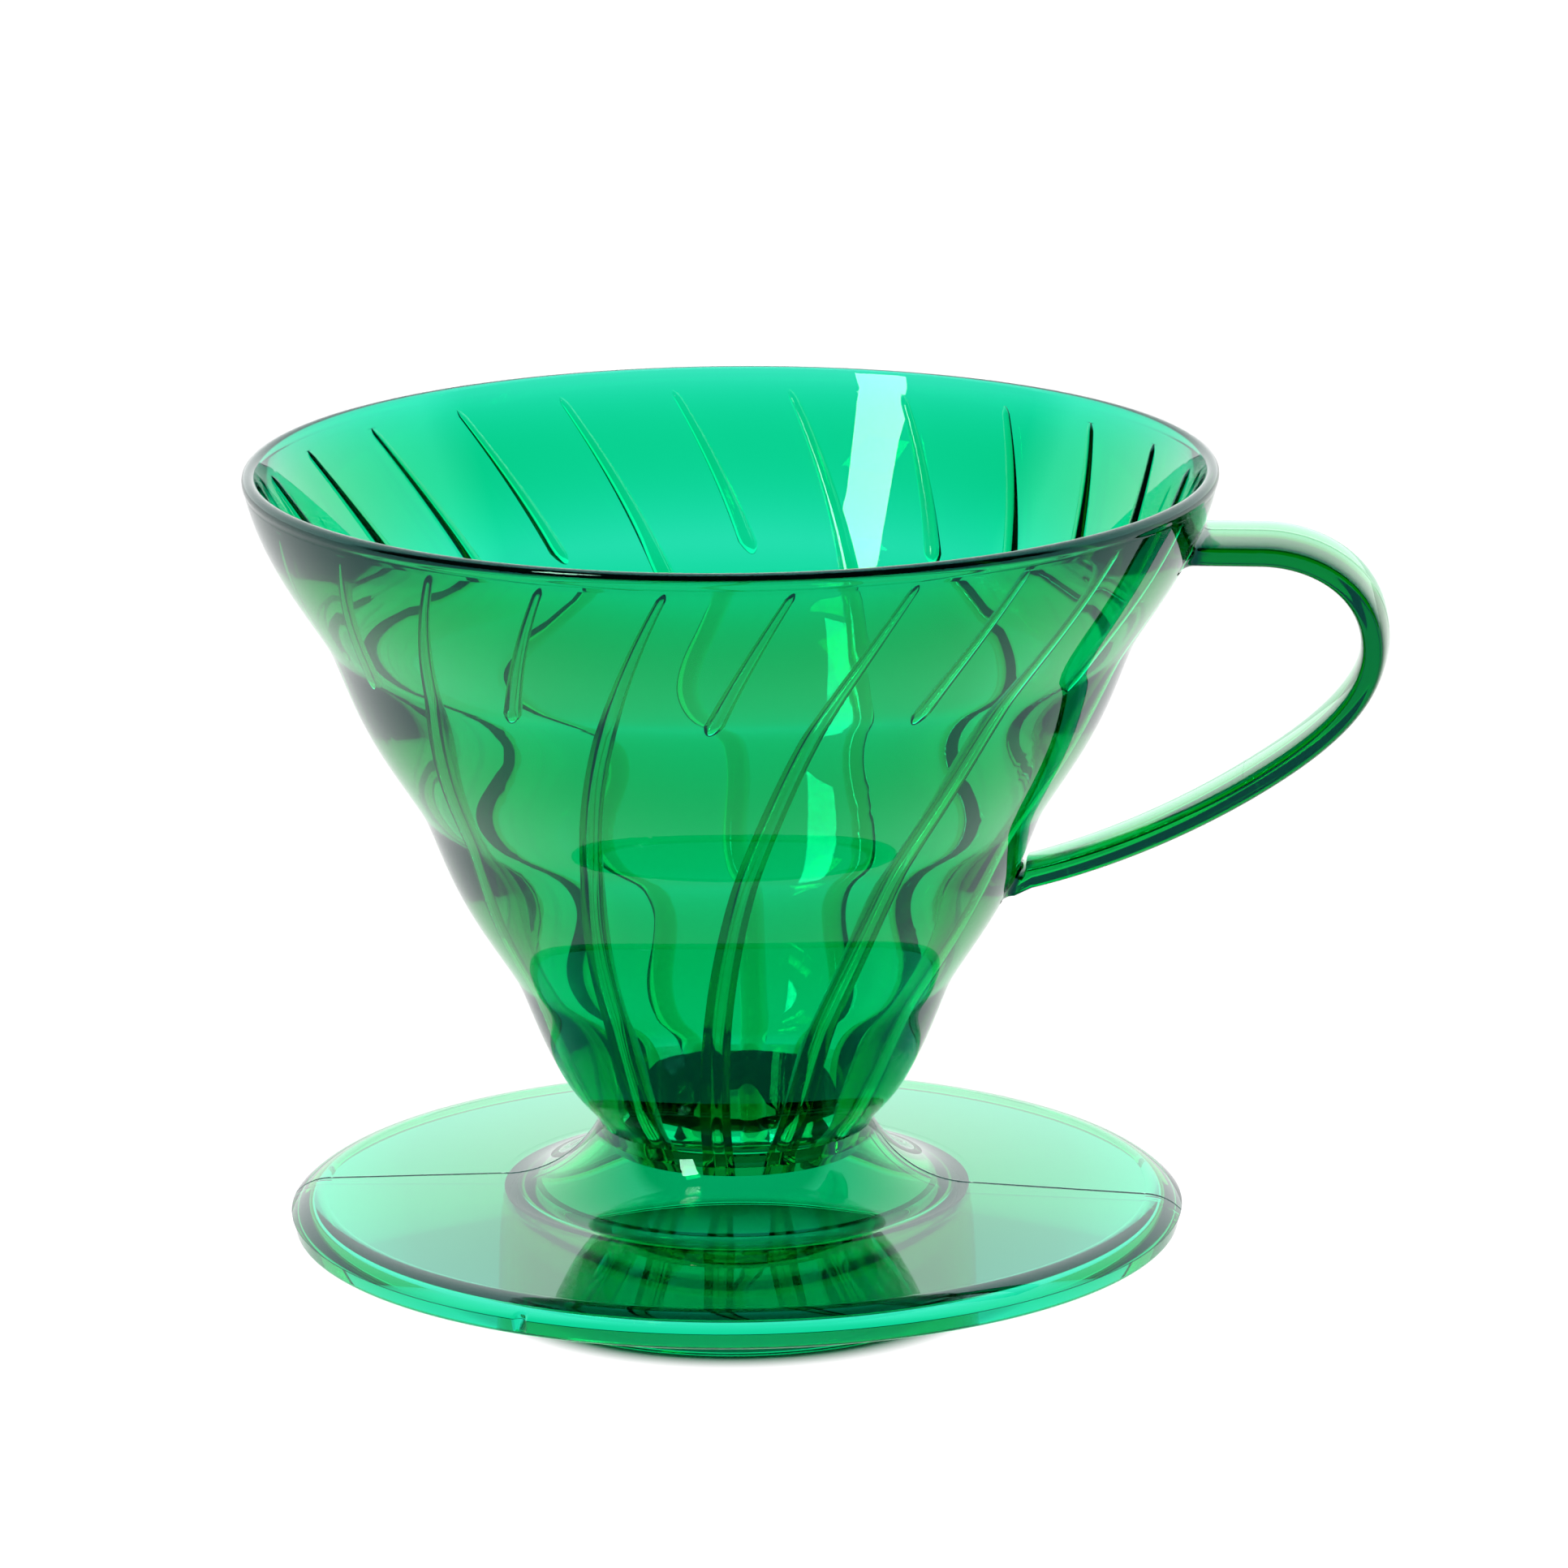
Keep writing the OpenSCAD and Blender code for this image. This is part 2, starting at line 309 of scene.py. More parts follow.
class Shader:
    """Builds the node tree of one material or world."""

    def __init__(self, owner: bpy.types.Material | bpy.types.World, output: str) -> None:
        """Empties the owner's node tree and adds its output node.

        Args:
            owner: Material or world to dress.
            output: Type of its output node.
        """
        owner.use_nodes = True
        self.owner = owner
        self.tree = owner.node_tree
        self.tree.nodes.clear()
        self.output = self.tree.nodes.new(output)

    @classmethod
    def of_material(cls, name: str) -> "Shader":
        """Starts a new material."""
        return cls(bpy.data.materials.new(name), "ShaderNodeOutputMaterial")

    def ends_in(self, **sockets: Value) -> None:
        """Joins values to the output's sockets, named with a capital."""
        for name, value in sockets.items():
            self.tree.links.new(value.socket, self.output.inputs[name.capitalize()])

    def node(
        self,
        kind: str,
        inputs: dict | None = None,
        output: int | str = 0,
        **settings: str,
    ) -> Value:
        """Adds a node.

        Args:
            kind: The node's type, without the word that all of them start with.
            inputs: Values or links by socket name or number.
            output: Which output socket to hand back.
            settings: Attributes of the node, set before its sockets.

        Returns:
            The chosen output as a Value.
        """
        made = self.tree.nodes.new("ShaderNode" + kind)
        for key, setting in settings.items():
            setattr(made, key, setting)
        for key, value in (inputs or {}).items():
            if isinstance(value, Value):
                self.tree.links.new(value.socket, made.inputs[key])
            else:
                made.inputs[key].default_value = value
        return Value(self, made.outputs[output])


@dataclass(frozen=True)
class ClearPlastic:
    """A transparent moulded plastic that tints light by the distance it travels inside.

    Attributes:
        ior: Index of refraction.
        passes: Share of red, green and blue that is spared of the density.
        density: Absorption per metre of a colour that is taken fully.
        glint: Tint of a reflection seen square on; at a glance it stays white.
        polish: Roughness of the clean surface.
        haze: Added roughness in the patches that hands and washing have dulled.
        bare: Level of the dulling noise below which the plastic stays clean.
        edge: How sharply a dulled patch sets in.
        sway: Height in metres of the slow waves left by the mould.
    """

    ior: float
    passes: tuple[float, float, float]
    density: float
    glint: tuple[float, float, float]
    polish: float
    haze: float
    bare: float
    edge: float
    sway: float

    def material(self, name: str) -> bpy.types.Material:
        """Makes the material: glass with an absorbing inside, and nothing at a joint.

        Args:
            name: Name of the material.

        Returns:
            The finished material.
        """
        shader = Shader.of_material(name)
        place = shader.node("TexCoord", output="Object")
        patchy = {"Vector": place, "Scale": 60.0, "Detail": 5.0, "Roughness": 0.6}
        gentle = {"Vector": place, "Scale": 45.0, "Detail": 1.0, "Roughness": 0.3}
        dull = shader.node("TexNoise", patchy)
        slow = shader.node("TexNoise", gentle)
        waves = {"Strength": 1.0, "Distance": self.sway, "Height": slow}
        looks = {
            "Base Color": WHITE,
            "Roughness": ((dull - self.bare) * self.edge).clipped() * self.haze + self.polish,
            "IOR": self.ior,
            "Transmission Weight": 1.0,
            "Specular Tint": (*self.glint, 1.0),
            "Normal": shader.node("Bump", waves, "Normal"),
        }
        clear = shader.node("BsdfPrincipled", looks)
        nothing = shader.node("BsdfTransparent")
        joint = shader.node("Attribute", output="Fac", attribute_name="joint")
        surface = shader.node("MixShader", {0: joint > 0.0, 1: clear, 2: nothing})
        colour = {"Color": (*self.passes, 1.0), "Density": self.density}
        inside = shader.node("VolumeAbsorption", colour)
        shader.ends_in(surface=surface, volume=inside)
        return shader.owner


class Finish(Enum):
    """The finishes of the dripper."""

    GREEN = ClearPlastic(
        ior=1.53,
        passes=(0.0, 0.923, 0.785),
        density=2000.0,
        glint=(0.08, 1.0, 0.85),
        polish=0.0,
        haze=0.03,
        bare=0.55,
        edge=3.0,
        sway=0.000004,
    )


# --- The cone ---


def low(node: str, axis: int) -> float:
    """Lowest coordinate of a CAD node along an axis, in millimetres."""
    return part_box(node)[0][axis] / MM


def high(node: str, axis: int) -> float:
    """Highest coordinate of a CAD node along an axis, in millimetres."""
    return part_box(node)[1][axis] / MM


@dataclass
class Cone:
    """The cone wall with its outlet collar and rim bead, and the form that the ribs follow.

    Attributes:
        top_z: Top of the rim.
        bead_z: Underside of the rim bead, where the wall ends.
        rim_r: Outermost radius of the bead.
        outlet_z: Lower face of the outlet.
        collar_z: Top of the outlet collar, where the wall starts.
        waist_z: Height up to which the skirt covers the wall.
        bead_w: Radial width of the bead.
        bead_proud: How far the bead stands out from the wall under it.
        bead_ease: Height over which it eases out that far.
        outlet_r: Inside radius of the outlet.
        wall: Thickness of the wall in a valley of the ripple.
        collar_wall: Radial thickness of the collar.
        band_pitch: Height from one valley to the next.
        band_top: Height from the top valley to the bead.
        band_bulge: Crown of a band above its valleys.
        valley_soft: Half-height of the rounding in a valley.
        wave: Curvature of a band's crest, where 1 is a plain parabola.
        top_wave: The same for the half band under the bead.
        tuck_h: Height above the outlet at which the wall starts to tuck in.
        tuck_r: Radius of that tuck.
        rib_n: Number of long ribs, and of short ones.
        rib_turn: Turn of a long rib from its tip to the outlet.
        rib_bend: Bend of the spiral, where 1 turns evenly.
        rib_start: Direction of the first long rib's tip.
        rib_tip_drop: Distance of the tips below the top of the rim.
        short_rib_h: Height of a short rib.
        rib_w: Width that the ribs are given as shares of.
        rib_h: Height off the wall that the ribs are given as shares of.
        rib_w_shares: Share of that width at the rim, and what the outlet adds.
        rib_h_shares: Share of that height at the rim, and what the outlet adds.
        rib_flat: Flatness of a rib's top.
        rib_soft: Roundness of its shoulders.
        tip_round: Length of a rib's rounded tip.
        foot_round: Length of a short rib's rounded foot.
        tip_share: Share of a rib's size just after its tip.
        tip_grow: Length over which it grows to its full size.
        across: Steps across a rib, and across the gap between two.
        rib_step: Height of a step along the inside.
        wall_step: Height of a step along the outside.
        rib_rest: Half-width of the columns kept for a rib where there is none.
    """

    top_z: float
    bead_z: float
    rim_r: float
    outlet_z: float
    collar_z: float
    waist_z: float
    bead_w: float = 2.4
    bead_proud: float = 0.25
    bead_ease: float = 1.0
    outlet_r: float = 12.3
    wall: float = 2.0
    collar_wall: float = 1.9
    band_pitch: float = 21.0
    band_top: float = 18.5
    band_bulge: float = 0.9
    valley_soft: float = 0.6
    wave: float = 1.6
    top_wave: float = 0.35
    tuck_h: float = 10.0
    tuck_r: float = 11.6
    rib_n: int = 12
    rib_turn: float = math.radians(31)
    rib_bend: float = 1.6
    rib_start: float = math.radians(-2)
    rib_tip_drop: float = 2.5
    short_rib_h: float = 18.8
    rib_w: float = 3.0
    rib_h: float = 1.8
    rib_w_shares: tuple[float, float] = (0.75, 0.45)
    rib_h_shares: tuple[float, float] = (0.42, 0.88)
    rib_flat: float = 3.0
    rib_soft: float = 0.8
    tip_round: float = 0.8
    foot_round: float = 1.4
    tip_share: float = 0.48
    tip_grow: float = 20.0
    across: int = 8
    rib_step: float = 0.9
    wall_step: float = 0.75
    rib_rest: float = 0.9

    @classmethod
    def from_frame(cls) -> "Cone":
        """Takes the heights and the rim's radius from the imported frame.

        Returns:
            The cone, ready to build.
        """
        return cls(
            top_z=high("rim_bead", 2),
            bead_z=low("rim_bead", 2),
            rim_r=-low("rim_bead", 0),
            outlet_z=low("outlet_collar", 2),
            collar_z=high("outlet_collar", 2),
            waist_z=high("base_skirt", 2),
        )

    def __post_init__(self) -> None:
        """Works out the sizes that follow from the others."""
        self.mouth_r = self.rim_r - self.bead_w
        self.slope = (self.mouth_r - self.outlet_r) / (self.bead_z - self.outlet_z)
        self.lean = math.atan(self.slope)
        self.tip_z = self.top_z - self.rib_tip_drop
        self.foot_z = self.tip_z - self.short_rib_h
        self.peak_z = self.bead_z - self.band_top + self.band_pitch / 2
        self.draw_in = 0.0
        over = float(self.outer_r(np.array(self.bead_z))) - (self.rim_r - self.bead_proud)
        self.draw_in = over / (self.bead_z - self.peak_z) ** 2

    def inner_r(self, z: np.ndarray) -> np.ndarray:
        """Radius of the smooth inside at height z: a straight cone."""
        return self.outlet_r + (z - self.outlet_z) * self.slope

    def outer_r(self, z: np.ndarray) -> np.ndarray:
        """Radius of the rippled outside at height z.

        The wall's thickness, plus a wave b (1 - w u^2 + (w - 1) u^4) over each band, where u
        is zero on its crest and one in its valleys, is laid square to the slope. Above the
        last crest it is b (1 - t u^2). The lowest band is drawn in by a parabola, and so is the
        upper half of the top band, which ends at the bead.

        Args:
            z: Heights, in millimetres.

        Returns:
            The radius at each height.
        """
        turn = (z - (self.bead_z - self.band_top)) / self.band_pitch
        off = np.abs(turn - np.round(turn)) * self.band_pitch
        u = 1 - np.hypot(off, self.valley_soft) / (self.band_pitch / 2)
        wave = 1 - self.wave * u**2 + (self.wave - 1) * u**4
        wave = np.where(z > self.peak_z, 1 - self.top_wave * u**2, wave)
        tuck = np.clip(self.outlet_z + self.tuck_h - z, 0, None) ** 2 / (2 * self.tuck_r)
        thick = (self.wall + self.band_bulge * wave) / math.cos(self.lean)
        rippled = self.inner_r(z) + thick - tuck
        rippled = rippled - self.draw_in * np.clip(z - self.peak_z, 0, None) ** 2
        return np.maximum(rippled, self.inner_r(z) + self.collar_wall)

    def twist(self, z: np.ndarray) -> np.ndarray:
        """How far a rib has turned at height z, counted from its tip."""
        share = np.clip((z - self.outlet_z) / (self.tip_z - self.outlet_z), 0, None)
        return -self.rib_turn * (1 - share**self.rib_bend)

    def rib_size(self, z: np.ndarray, short: bool) -> tuple[np.ndarray, np.ndarray]:
        """Width and height of a rib at height z.

        Both start with a round tip, as the square root of the way down from it, and then grow
        evenly to their full size.

        Args:
            z: Heights, in millimetres.
            short: Whether it is a short rib, which has a rounded foot too.

        Returns:
            Widths along the wall and heights off it.
        """
        blunt = 0.01
        down = (self.tip_z - z) / (self.tip_z - self.outlet_z)
        away = self.tip_z - z + blunt
        grown = self.tip_share + (1 - self.tip_share) * np.clip(away / self.tip_grow, 0, 1)
        full = np.sqrt(np.clip(away / self.tip_round, 0, 1)) * grown
        if short:
            full = full * np.sqrt(np.clip((z - self.foot_z + blunt) / self.foot_round, 0, 1))
        w_rim, w_more = self.rib_w_shares
        h_rim, h_more = self.rib_h_shares
        width = full * self.rib_w * (w_rim + w_more * down)
        return width, full * self.rib_h * (h_rim + h_more * down) / math.cos(self.lean)

    def rows(self, start: float, end: float) -> np.ndarray:
        """Heights of the rows of points, closer together at the tips and feet of the ribs.

        Args:
            start: Height of the lowest row.
            end: Height of the highest row.

        Returns:
            The heights, going up.
        """
        fine = np.array([0.05, 0.15, 0.3, 0.5, 0.8])
        even = np.arange(self.outlet_z, self.bead_z, self.rib_step)
        tip = [self.tip_z, *(self.tip_z - fine)]
        ends = np.array([*tip, self.foot_z, *(self.foot_z + fine), *(self.foot_z - fine)])
        keep = even[np.min(np.abs(even[:, None] - ends[None, :]), axis=1) > self.rib_step / 3]
        rows = np.concatenate([keep, ends, [self.collar_z, start, end]])
        return np.unique(np.round(rows[(rows >= start) & (rows <= end)], 4))

    def half_angle(self, z: np.ndarray, short: bool) -> np.ndarray:
        """Half of a rib's width as an angle, or a small rest value where there is no rib.

        Args:
            z: Heights, in millimetres.
            short: Whether it is a short rib.

        Returns:
            Half of the angle at each height.
        """
        width, _ = self.rib_size(z, short)
        there = (z <= self.tip_z + HAIR) & ((z >= self.foot_z - HAIR) | (not short))
        return np.where(there, width / 2, self.rib_rest) / self.inner_r(z)

    def rib_columns(self, z: np.ndarray) -> np.ndarray:
        """Angles of the inside's columns: as many steps across each rib as between two.

        Args:
            z: Heights, in millimetres.

        Returns:
            One row of angles for each height.
        """
        n = 2 * self.rib_n
        middles = self.rib_start + np.arange(n) * 2 * math.pi / n
        half = np.stack([self.half_angle(z, bool(k % 2)) for k in range(n)], axis=1)
        following = np.roll(half, -1, axis=1)
        s = np.arange(self.across) / self.across
        on_rib = middles[None, :, None] + half[:, :, None] * (2 * s - 1)
        start = middles[None, :] + half
        span = 2 * math.pi / n - half - following
        between = start[:, :, None] + span[:, :, None] * s
        columns = np.concatenate([on_rib, between], axis=2).reshape(len(z), -1)
        return columns + self.twist(z)[:, None]

    def even_columns(self, z: np.ndarray) -> np.ndarray:
        """Angles of the outside's columns: evenly spaced, and turned with the ribs.

        Args:
            z: Heights, in millimetres.

        Returns:
            One row of angles for each height.
        """
        n = 2 * self.rib_n * 2 * self.across
        even = self.rib_start + (np.arange(n) - self.across / 2) * 2 * math.pi / n
        return even[None, :] + self.twist(z)[:, None]

    def under_rib(self, z: np.ndarray) -> np.ndarray:
        """Marks the inside's faces that a rib stands on, one row for each step between heights.

        Args:
            z: Heights of the rows, going up.

        Returns:
            Marks as steps by columns, a joint where a rib stands.
        """
        middle = (z[1:] + z[:-1]) / 2
        long_on = (middle < self.tip_z)[:, None]
        short_on = ((middle < self.tip_z) & (middle > self.foot_z))[:, None]
        on = np.arange(2 * self.across) < self.across
        sector = np.concatenate([long_on & on, short_on & on], axis=1)
        return np.where(np.tile(sector, (1, self.rib_n)), JOINT, BARE)

    def shell(self, start: float, end: float, roots: list["Root"]) -> Skin:
        """A stretch of the wall between two heights, closed by flat rings at both ends.

        Args:
            start: Height of the lower end.
            end: Height of the upper end.
            roots: Handle roots that stand on its outside.

        Returns:
            The closed skin; its ends, the band that the skirt covers, and the places under the
            ribs and the handle's roots are marked as joints.
        """
        inside = self.rows(start, end)
        even = np.arange(start, end, self.wall_step)
        outside = np.unique(np.round([*even, end, min(self.waist_z, end)], 4))
        outside = outside[(outside >= start) & (outside <= end)]
        outer = np.stack([self.outer_r(outside), outside], axis=1)
        if start < self.collar_z:
            outer[:, 0] = self.inner_r(outside) + self.collar_wall
        inner = np.stack([self.inner_r(inside), inside], axis=1)[::-1]
        section = np.vstack([outer, inner])
        section[section[:, 1] == start, 1] += JOINT_GAP / 2
        angles = np.vstack([self.even_columns(outside), self.rib_columns(inside)[::-1]])
        marks = np.full((len(section), angles.shape[1]), BARE)
        covered = (outside[:-1] >= self.collar_z - HAIR) & (outside[1:] <= self.waist_z + HAIR)
        marks[: len(outside) - 1][covered] = JOINT
        marks[len(outside) - 1] = JOINT
        marks[len(outside) : -1] = self.under_rib(inside)[::-1]
        marks[-1] = JOINT if start > self.outlet_z + HAIR else BARE
        skin = revolve(section, marks, angles)
        if roots:
            reach = np.max([root.inside(skin.points) for root in roots], axis=0)
            first = np.arange(len(marks) * angles.shape[1]) // angles.shape[1]
            bare = (first < len(outside) - 1) & (skin.joint[:, 0] < 0)
            skin.joint[bare] = reach[skin.quads[bare]]
        return skin

    def ribs(self, short: bool) -> Skin:
        """All ribs of one kind, each a closed solid on the inside of the wall.

        A rib's ridge stands h (1 - |s|^rib_flat)^rib_soft above the wall, where s runs from
        -1 to 1 across it, and it is carried down the spiral.

        Args:
            short: Whether to make the short ribs or the long ones.

        Returns:
            The skin of all of them.
        """
        rows = self.rows(self.foot_z if short else self.outlet_z, self.tip_z)
        width, height = self.rib_size(rows, short)
        base = np.linspace(-1, 1, self.across + 1)
        ridge = np.sin(np.linspace(math.pi / 2, -math.pi / 2, 3 * self.across + 3))[1:-1]
        s = np.concatenate([base, ridge])
        crown = np.clip(1 - np.abs(ridge) ** self.rib_flat, 0, 1) ** self.rib_soft
        rise = np.concatenate([np.zeros(len(base)), crown])
        wall = self.inner_r(rows)[:, None] - JOINT_GAP
        r = wall - height[:, None] * rise[None, :]
        lean = self.twist(rows)[:, None] + s[None, :] * (width / 2 / self.inner_r(rows))[:, None]
        quads = grid_quads(len(rows), len(s), False, True)
        mark = np.where(np.arange(len(s)) < self.across, JOINT, BARE)
        joint = np.repeat(np.tile(mark, len(rows) - 1)[:, None], 4, axis=1)
        caps = end_caps(len(rows), len(s))
        made = None
        for k in range(self.rib_n):
            a = lean + self.rib_start + (k + 0.5 * short) * 2 * math.pi / self.rib_n
            points = polar(r, a, np.broadcast_to(rows[:, None], a.shape))
            one = Skin(points, quads, joint, caps, [BARE, BARE])
            made = one if made is None else made.joined(one)
        return made

    def bead(self) -> Skin:
        """The rim bead: a lip over the wall's end, a little proud of its outside.

        Its round touches the top, the outermost edge and the line of the cone's inside, so its
        radius is (w cos a - h sin a) / (1 + cos a - sin a) for width w, height h and lean a.

        Returns:
            The closed skin.
        """
        c, s = math.cos(self.lean), math.sin(self.lean)
        tall = self.top_z - self.bead_z
        half = (self.bead_w * c - tall * s) / (1 + c - s)
        under = np.array([[self.mouth_r, self.bead_z], [self.rim_r - self.bead_proud, self.bead_z]])
        t = np.linspace(0, 1, 7)[1:, None]
        reach = np.array([[self.bead_proud, self.bead_ease]])
        side = under[1] + reach * np.hstack([t * t * (3 - 2 * t), t])
        centre, end = (self.rim_r - half, self.top_z - half), 180 - math.degrees(self.lean)
        crown = arc(centre, half, 0, end, steps=24)
        section = np.vstack([under, side, crown])
        section[:2, 1] += JOINT_GAP
        marks = np.full(len(section), BARE)
        marks[0] = JOINT
        return revolve(section, marks, np.linspace(0, 2 * math.pi, ROUND, endpoint=False))

    def build(self, finish: bpy.types.Material, roots: list["Root"]) -> None:
        """Makes the wall, the collar, the bead and both kinds of rib.

        Args:
            finish: Material of every piece.
            roots: Handle roots on the wall's outside.
        """
        wall = self.shell(self.collar_z, self.bead_z, roots)
        wall.piece("cone_shell", finish, "cone_wall")
        collar = self.shell(self.outlet_z, self.collar_z, [])
        collar.piece("outlet_nozzle", finish, "outlet_collar")
        self.bead().piece("rim_lip", finish, "rim_bead")
        self.ribs(False).piece("long_ribs", finish, "long_spiral_ribs")
        self.ribs(True).piece("short_ribs", finish, "short_spiral_ribs")


# --- The base ---


@dataclass
class Base:
    """The hollow skirt, the saucer with its lip, and the locating ring.

    Attributes:
        cone: The cone that stands on it.
        ring_r: Outside radius of the locating ring.
        ring_h: Height of the ring, up to the saucer's underside.
        hub_z: Height of the saucer's top where it meets the skirt.
        shoulder_z: Height of its top where the shoulder starts.
        shoulder_x: Radius at which the shoulder starts.
        saucer_r: Radius of the saucer's sharp edge.
        lip_z: Lowest height of the lip.
        ring_wall: Thickness of the ring.
        cove_r: Radius of the skirt's hollow curve.
        cove_gap: How far outside the ring that curve ends.
        skirt_wall: Thickness of the skirt.
        shoulder_w: Width of the rounded shoulder.
        shoulder_r: Its radius.
        lip_t: Thickness of the lip.
        lip_rounds: Roundings of the lip, from its inside corner to its outer foot.
        lip_lean: How far the lip's inside leans.
        step: How far the band under the sharp edge stands back.
        draft: Draft of that band.
        fillet: Reach of the blend between the ring and the skirt.
        foot_round: Rounding of the ring's foot.
        gate_a: Direction of the gate mark.
        gate_d: Its depth.
        gate_w: Half of its width.
        gate_h: Half of its height.
        gate_in: How far in from the edge it reaches.
        seam_h: Height of the parting ridge.
        seam_w: Half of its width.
    """

    cone: Cone
    ring_r: float
    ring_h: float
    hub_z: float
    shoulder_z: float
    shoulder_x: float
    saucer_r: float
    lip_z: float
    ring_wall: float = 2.0
    cove_r: float = 13.2
    cove_gap: float = 0.5
    skirt_wall: float = 2.1
    shoulder_w: float = 4.4
    shoulder_r: float = 6.0
    lip_t: float = 1.9
    lip_rounds: tuple[float, float, float] = (0.5, 0.35, 0.6)
    lip_lean: float = 0.3
    step: float = 0.15
    draft: float = 0.3
    fillet: float = 3.0
    foot_round: float = 0.35
    gate_a: float = math.radians(-112.5)
    gate_d: float = 0.7
    gate_w: float = 0.65
    gate_h: float = 0.45
    gate_in: float = 2.0
    seam_h: float = 0.09
    seam_w: float = 0.16

    @classmethod
    def from_frame(cls, cone: Cone) -> "Base":
        """Takes the base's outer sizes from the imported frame.

        Args:
            cone: The cone that stands on the base.

        Returns:
            The base, ready to build.
        """
        return cls(
            cone=cone,
            ring_r=-low("locating_ring", 0),
            ring_h=high("locating_ring", 2),
            hub_z=high("saucer_plate", 2),
            shoulder_z=high("saucer_lip", 2),
            shoulder_x=-low("saucer_plate", 0),
            saucer_r=-low("saucer_lip", 0),
            lip_z=low("saucer_lip", 2),
        )

    def __post_init__(self) -> None:
        """Works out the sizes that follow from the others."""
        self.cove_x = self.ring_r + self.cove_gap
        self.cove_z = self.hub_z + self.cove_r
        self.ring_in = self.ring_r - self.ring_wall

    def columns(self) -> np.ndarray:
        """Angles round the axis, crowded at the gate and where the mould's two halves met.

        Returns:
            The angles, going round once.
        """
        even = np.linspace(0, 2 * math.pi, ROUND, endpoint=False)
        seam = np.radians(np.array([-0.5, -0.36, -0.22, -0.1, 0.1, 0.22, 0.36, 0.5]))
        both = np.concatenate([seam % (2 * math.pi), seam + math.pi])
        reach, steps, apart = 1.6, 16, 0.004
        around_gate = np.linspace(-reach, reach, steps + 1) / self.saucer_r
        gate = self.gate_a % (2 * math.pi) + around_gate
        off_seam = np.abs(np.sin(even))
        keep = even[(off_seam >= math.radians(0.4)) | (off_seam < HAIR)]
        keep = keep[(keep < gate[0] - apart) | (keep > gate[-1] + apart)]
        return np.sort(np.concatenate([keep, both, gate]))

    def seam(self, section: np.ndarray, marks: np.ndarray, columns: np.ndarray) -> np.ndarray:
        """Height of the fine ridge along the parting line.

        It is seam_h exp(-(d / seam_w)^2), where d is the distance from the plane of the
        handle, and it fades where the surface is a joint.

        Args:
            section: Outline as k by 2 radii and heights.
            marks: Joint mark after each of its points.
            columns: Angles round the axis.

        Returns:
            Heights to add, as section points by columns.
        """
        d = section[:, :1] * np.abs(np.sin(columns))[None, :]
        bare = (marks < 0) & (np.roll(marks, 1) < 0)
        return np.where(bare[:, None], self.seam_h * np.exp(-((d / self.seam_w) ** 2)), 0.0)

    def turned(self, section: np.ndarray, marks: np.ndarray, parted: bool) -> Skin:
        """Revolves a section of the base, with or without the parting ridge.

        Args:
            section: Closed outline as k by 2 radii and heights.
            marks: Joint mark after each of its points.
            parted: Whether it carries the parting ridge.

        Returns:
            The closed skin.
        """
        columns = self.columns()
        lift = self.seam(section, marks, columns) if parted else 0.0
        return revolve(section, marks, columns, lift)

    def skirt(self) -> Skin:
        """The hollow curve from the waist down to the saucer, open underneath.

        Returns:
            The closed skin.
        """
        cone = self.cone
        turn_in = self.skirt_wall + self.cove_r
        waist_a = 180 + math.degrees(math.asin((self.cove_z - cone.waist_z) / self.cove_r))
        meet_a = 180 + math.degrees(math.asin((self.cove_z - cone.collar_z) / turn_in))
        foot_a = 270 - math.degrees(math.asin((self.cove_x - self.ring_in) / turn_in))
        centre, steps, clear = (self.cove_x, self.cove_z), 48, 0.05
        outer = arc(centre, self.cove_r, 270, waist_a, steps)[:-1]
        inner = arc(centre, turn_in, meet_a, foot_a, steps)
        on_ring = self.seat()
        inner = inner[inner[:, 0] < on_ring[0, 0] - clear][1:]
        z = np.linspace(cone.waist_z, cone.collar_z, 6)
        against = np.stack([cone.outer_r(z) + JOINT_GAP, z], axis=1)
        floor = np.array([[r, self.ring_h] for r in (self.ring_in, self.ring_r, self.cove_x)])
        section = np.vstack([floor, outer, against, inner, on_ring])
        marks = np.full(len(section), BARE)
        marks[[0, 2]] = JOINT
        first = len(floor) + len(outer)
        marks[first : first + len(against) - 1] = JOINT
        marks[-len(on_ring) :] = JOINT
        return self.turned(section, marks, True)

    def plate(self) -> Skin:
        """The saucer between the skirt and the shoulder, thinning outwards.

        Its top has points in between, so that the parting ridge runs along all of it.

        Returns:
            The closed skin.
        """
        hub_x = self.cove_x + JOINT_GAP
        run, rise = hub_x - self.shoulder_x, self.hub_z - self.shoulder_z
        between = (0.01, 0.25, 0.5, 0.75, 0.99)
        top = [Corner(self.shoulder_x + run * s, self.shoulder_z + rise * s) for s in between]
        corners = [
            Corner(hub_x, self.ring_h),
            Corner(self.shoulder_x, self.ring_h, 0.0, True),
            Corner(self.shoulder_x, self.shoulder_z),
            *top,
            Corner(hub_x, self.hub_z, 0.0, True),
        ]
        return self.turned(*outline(corners), True)

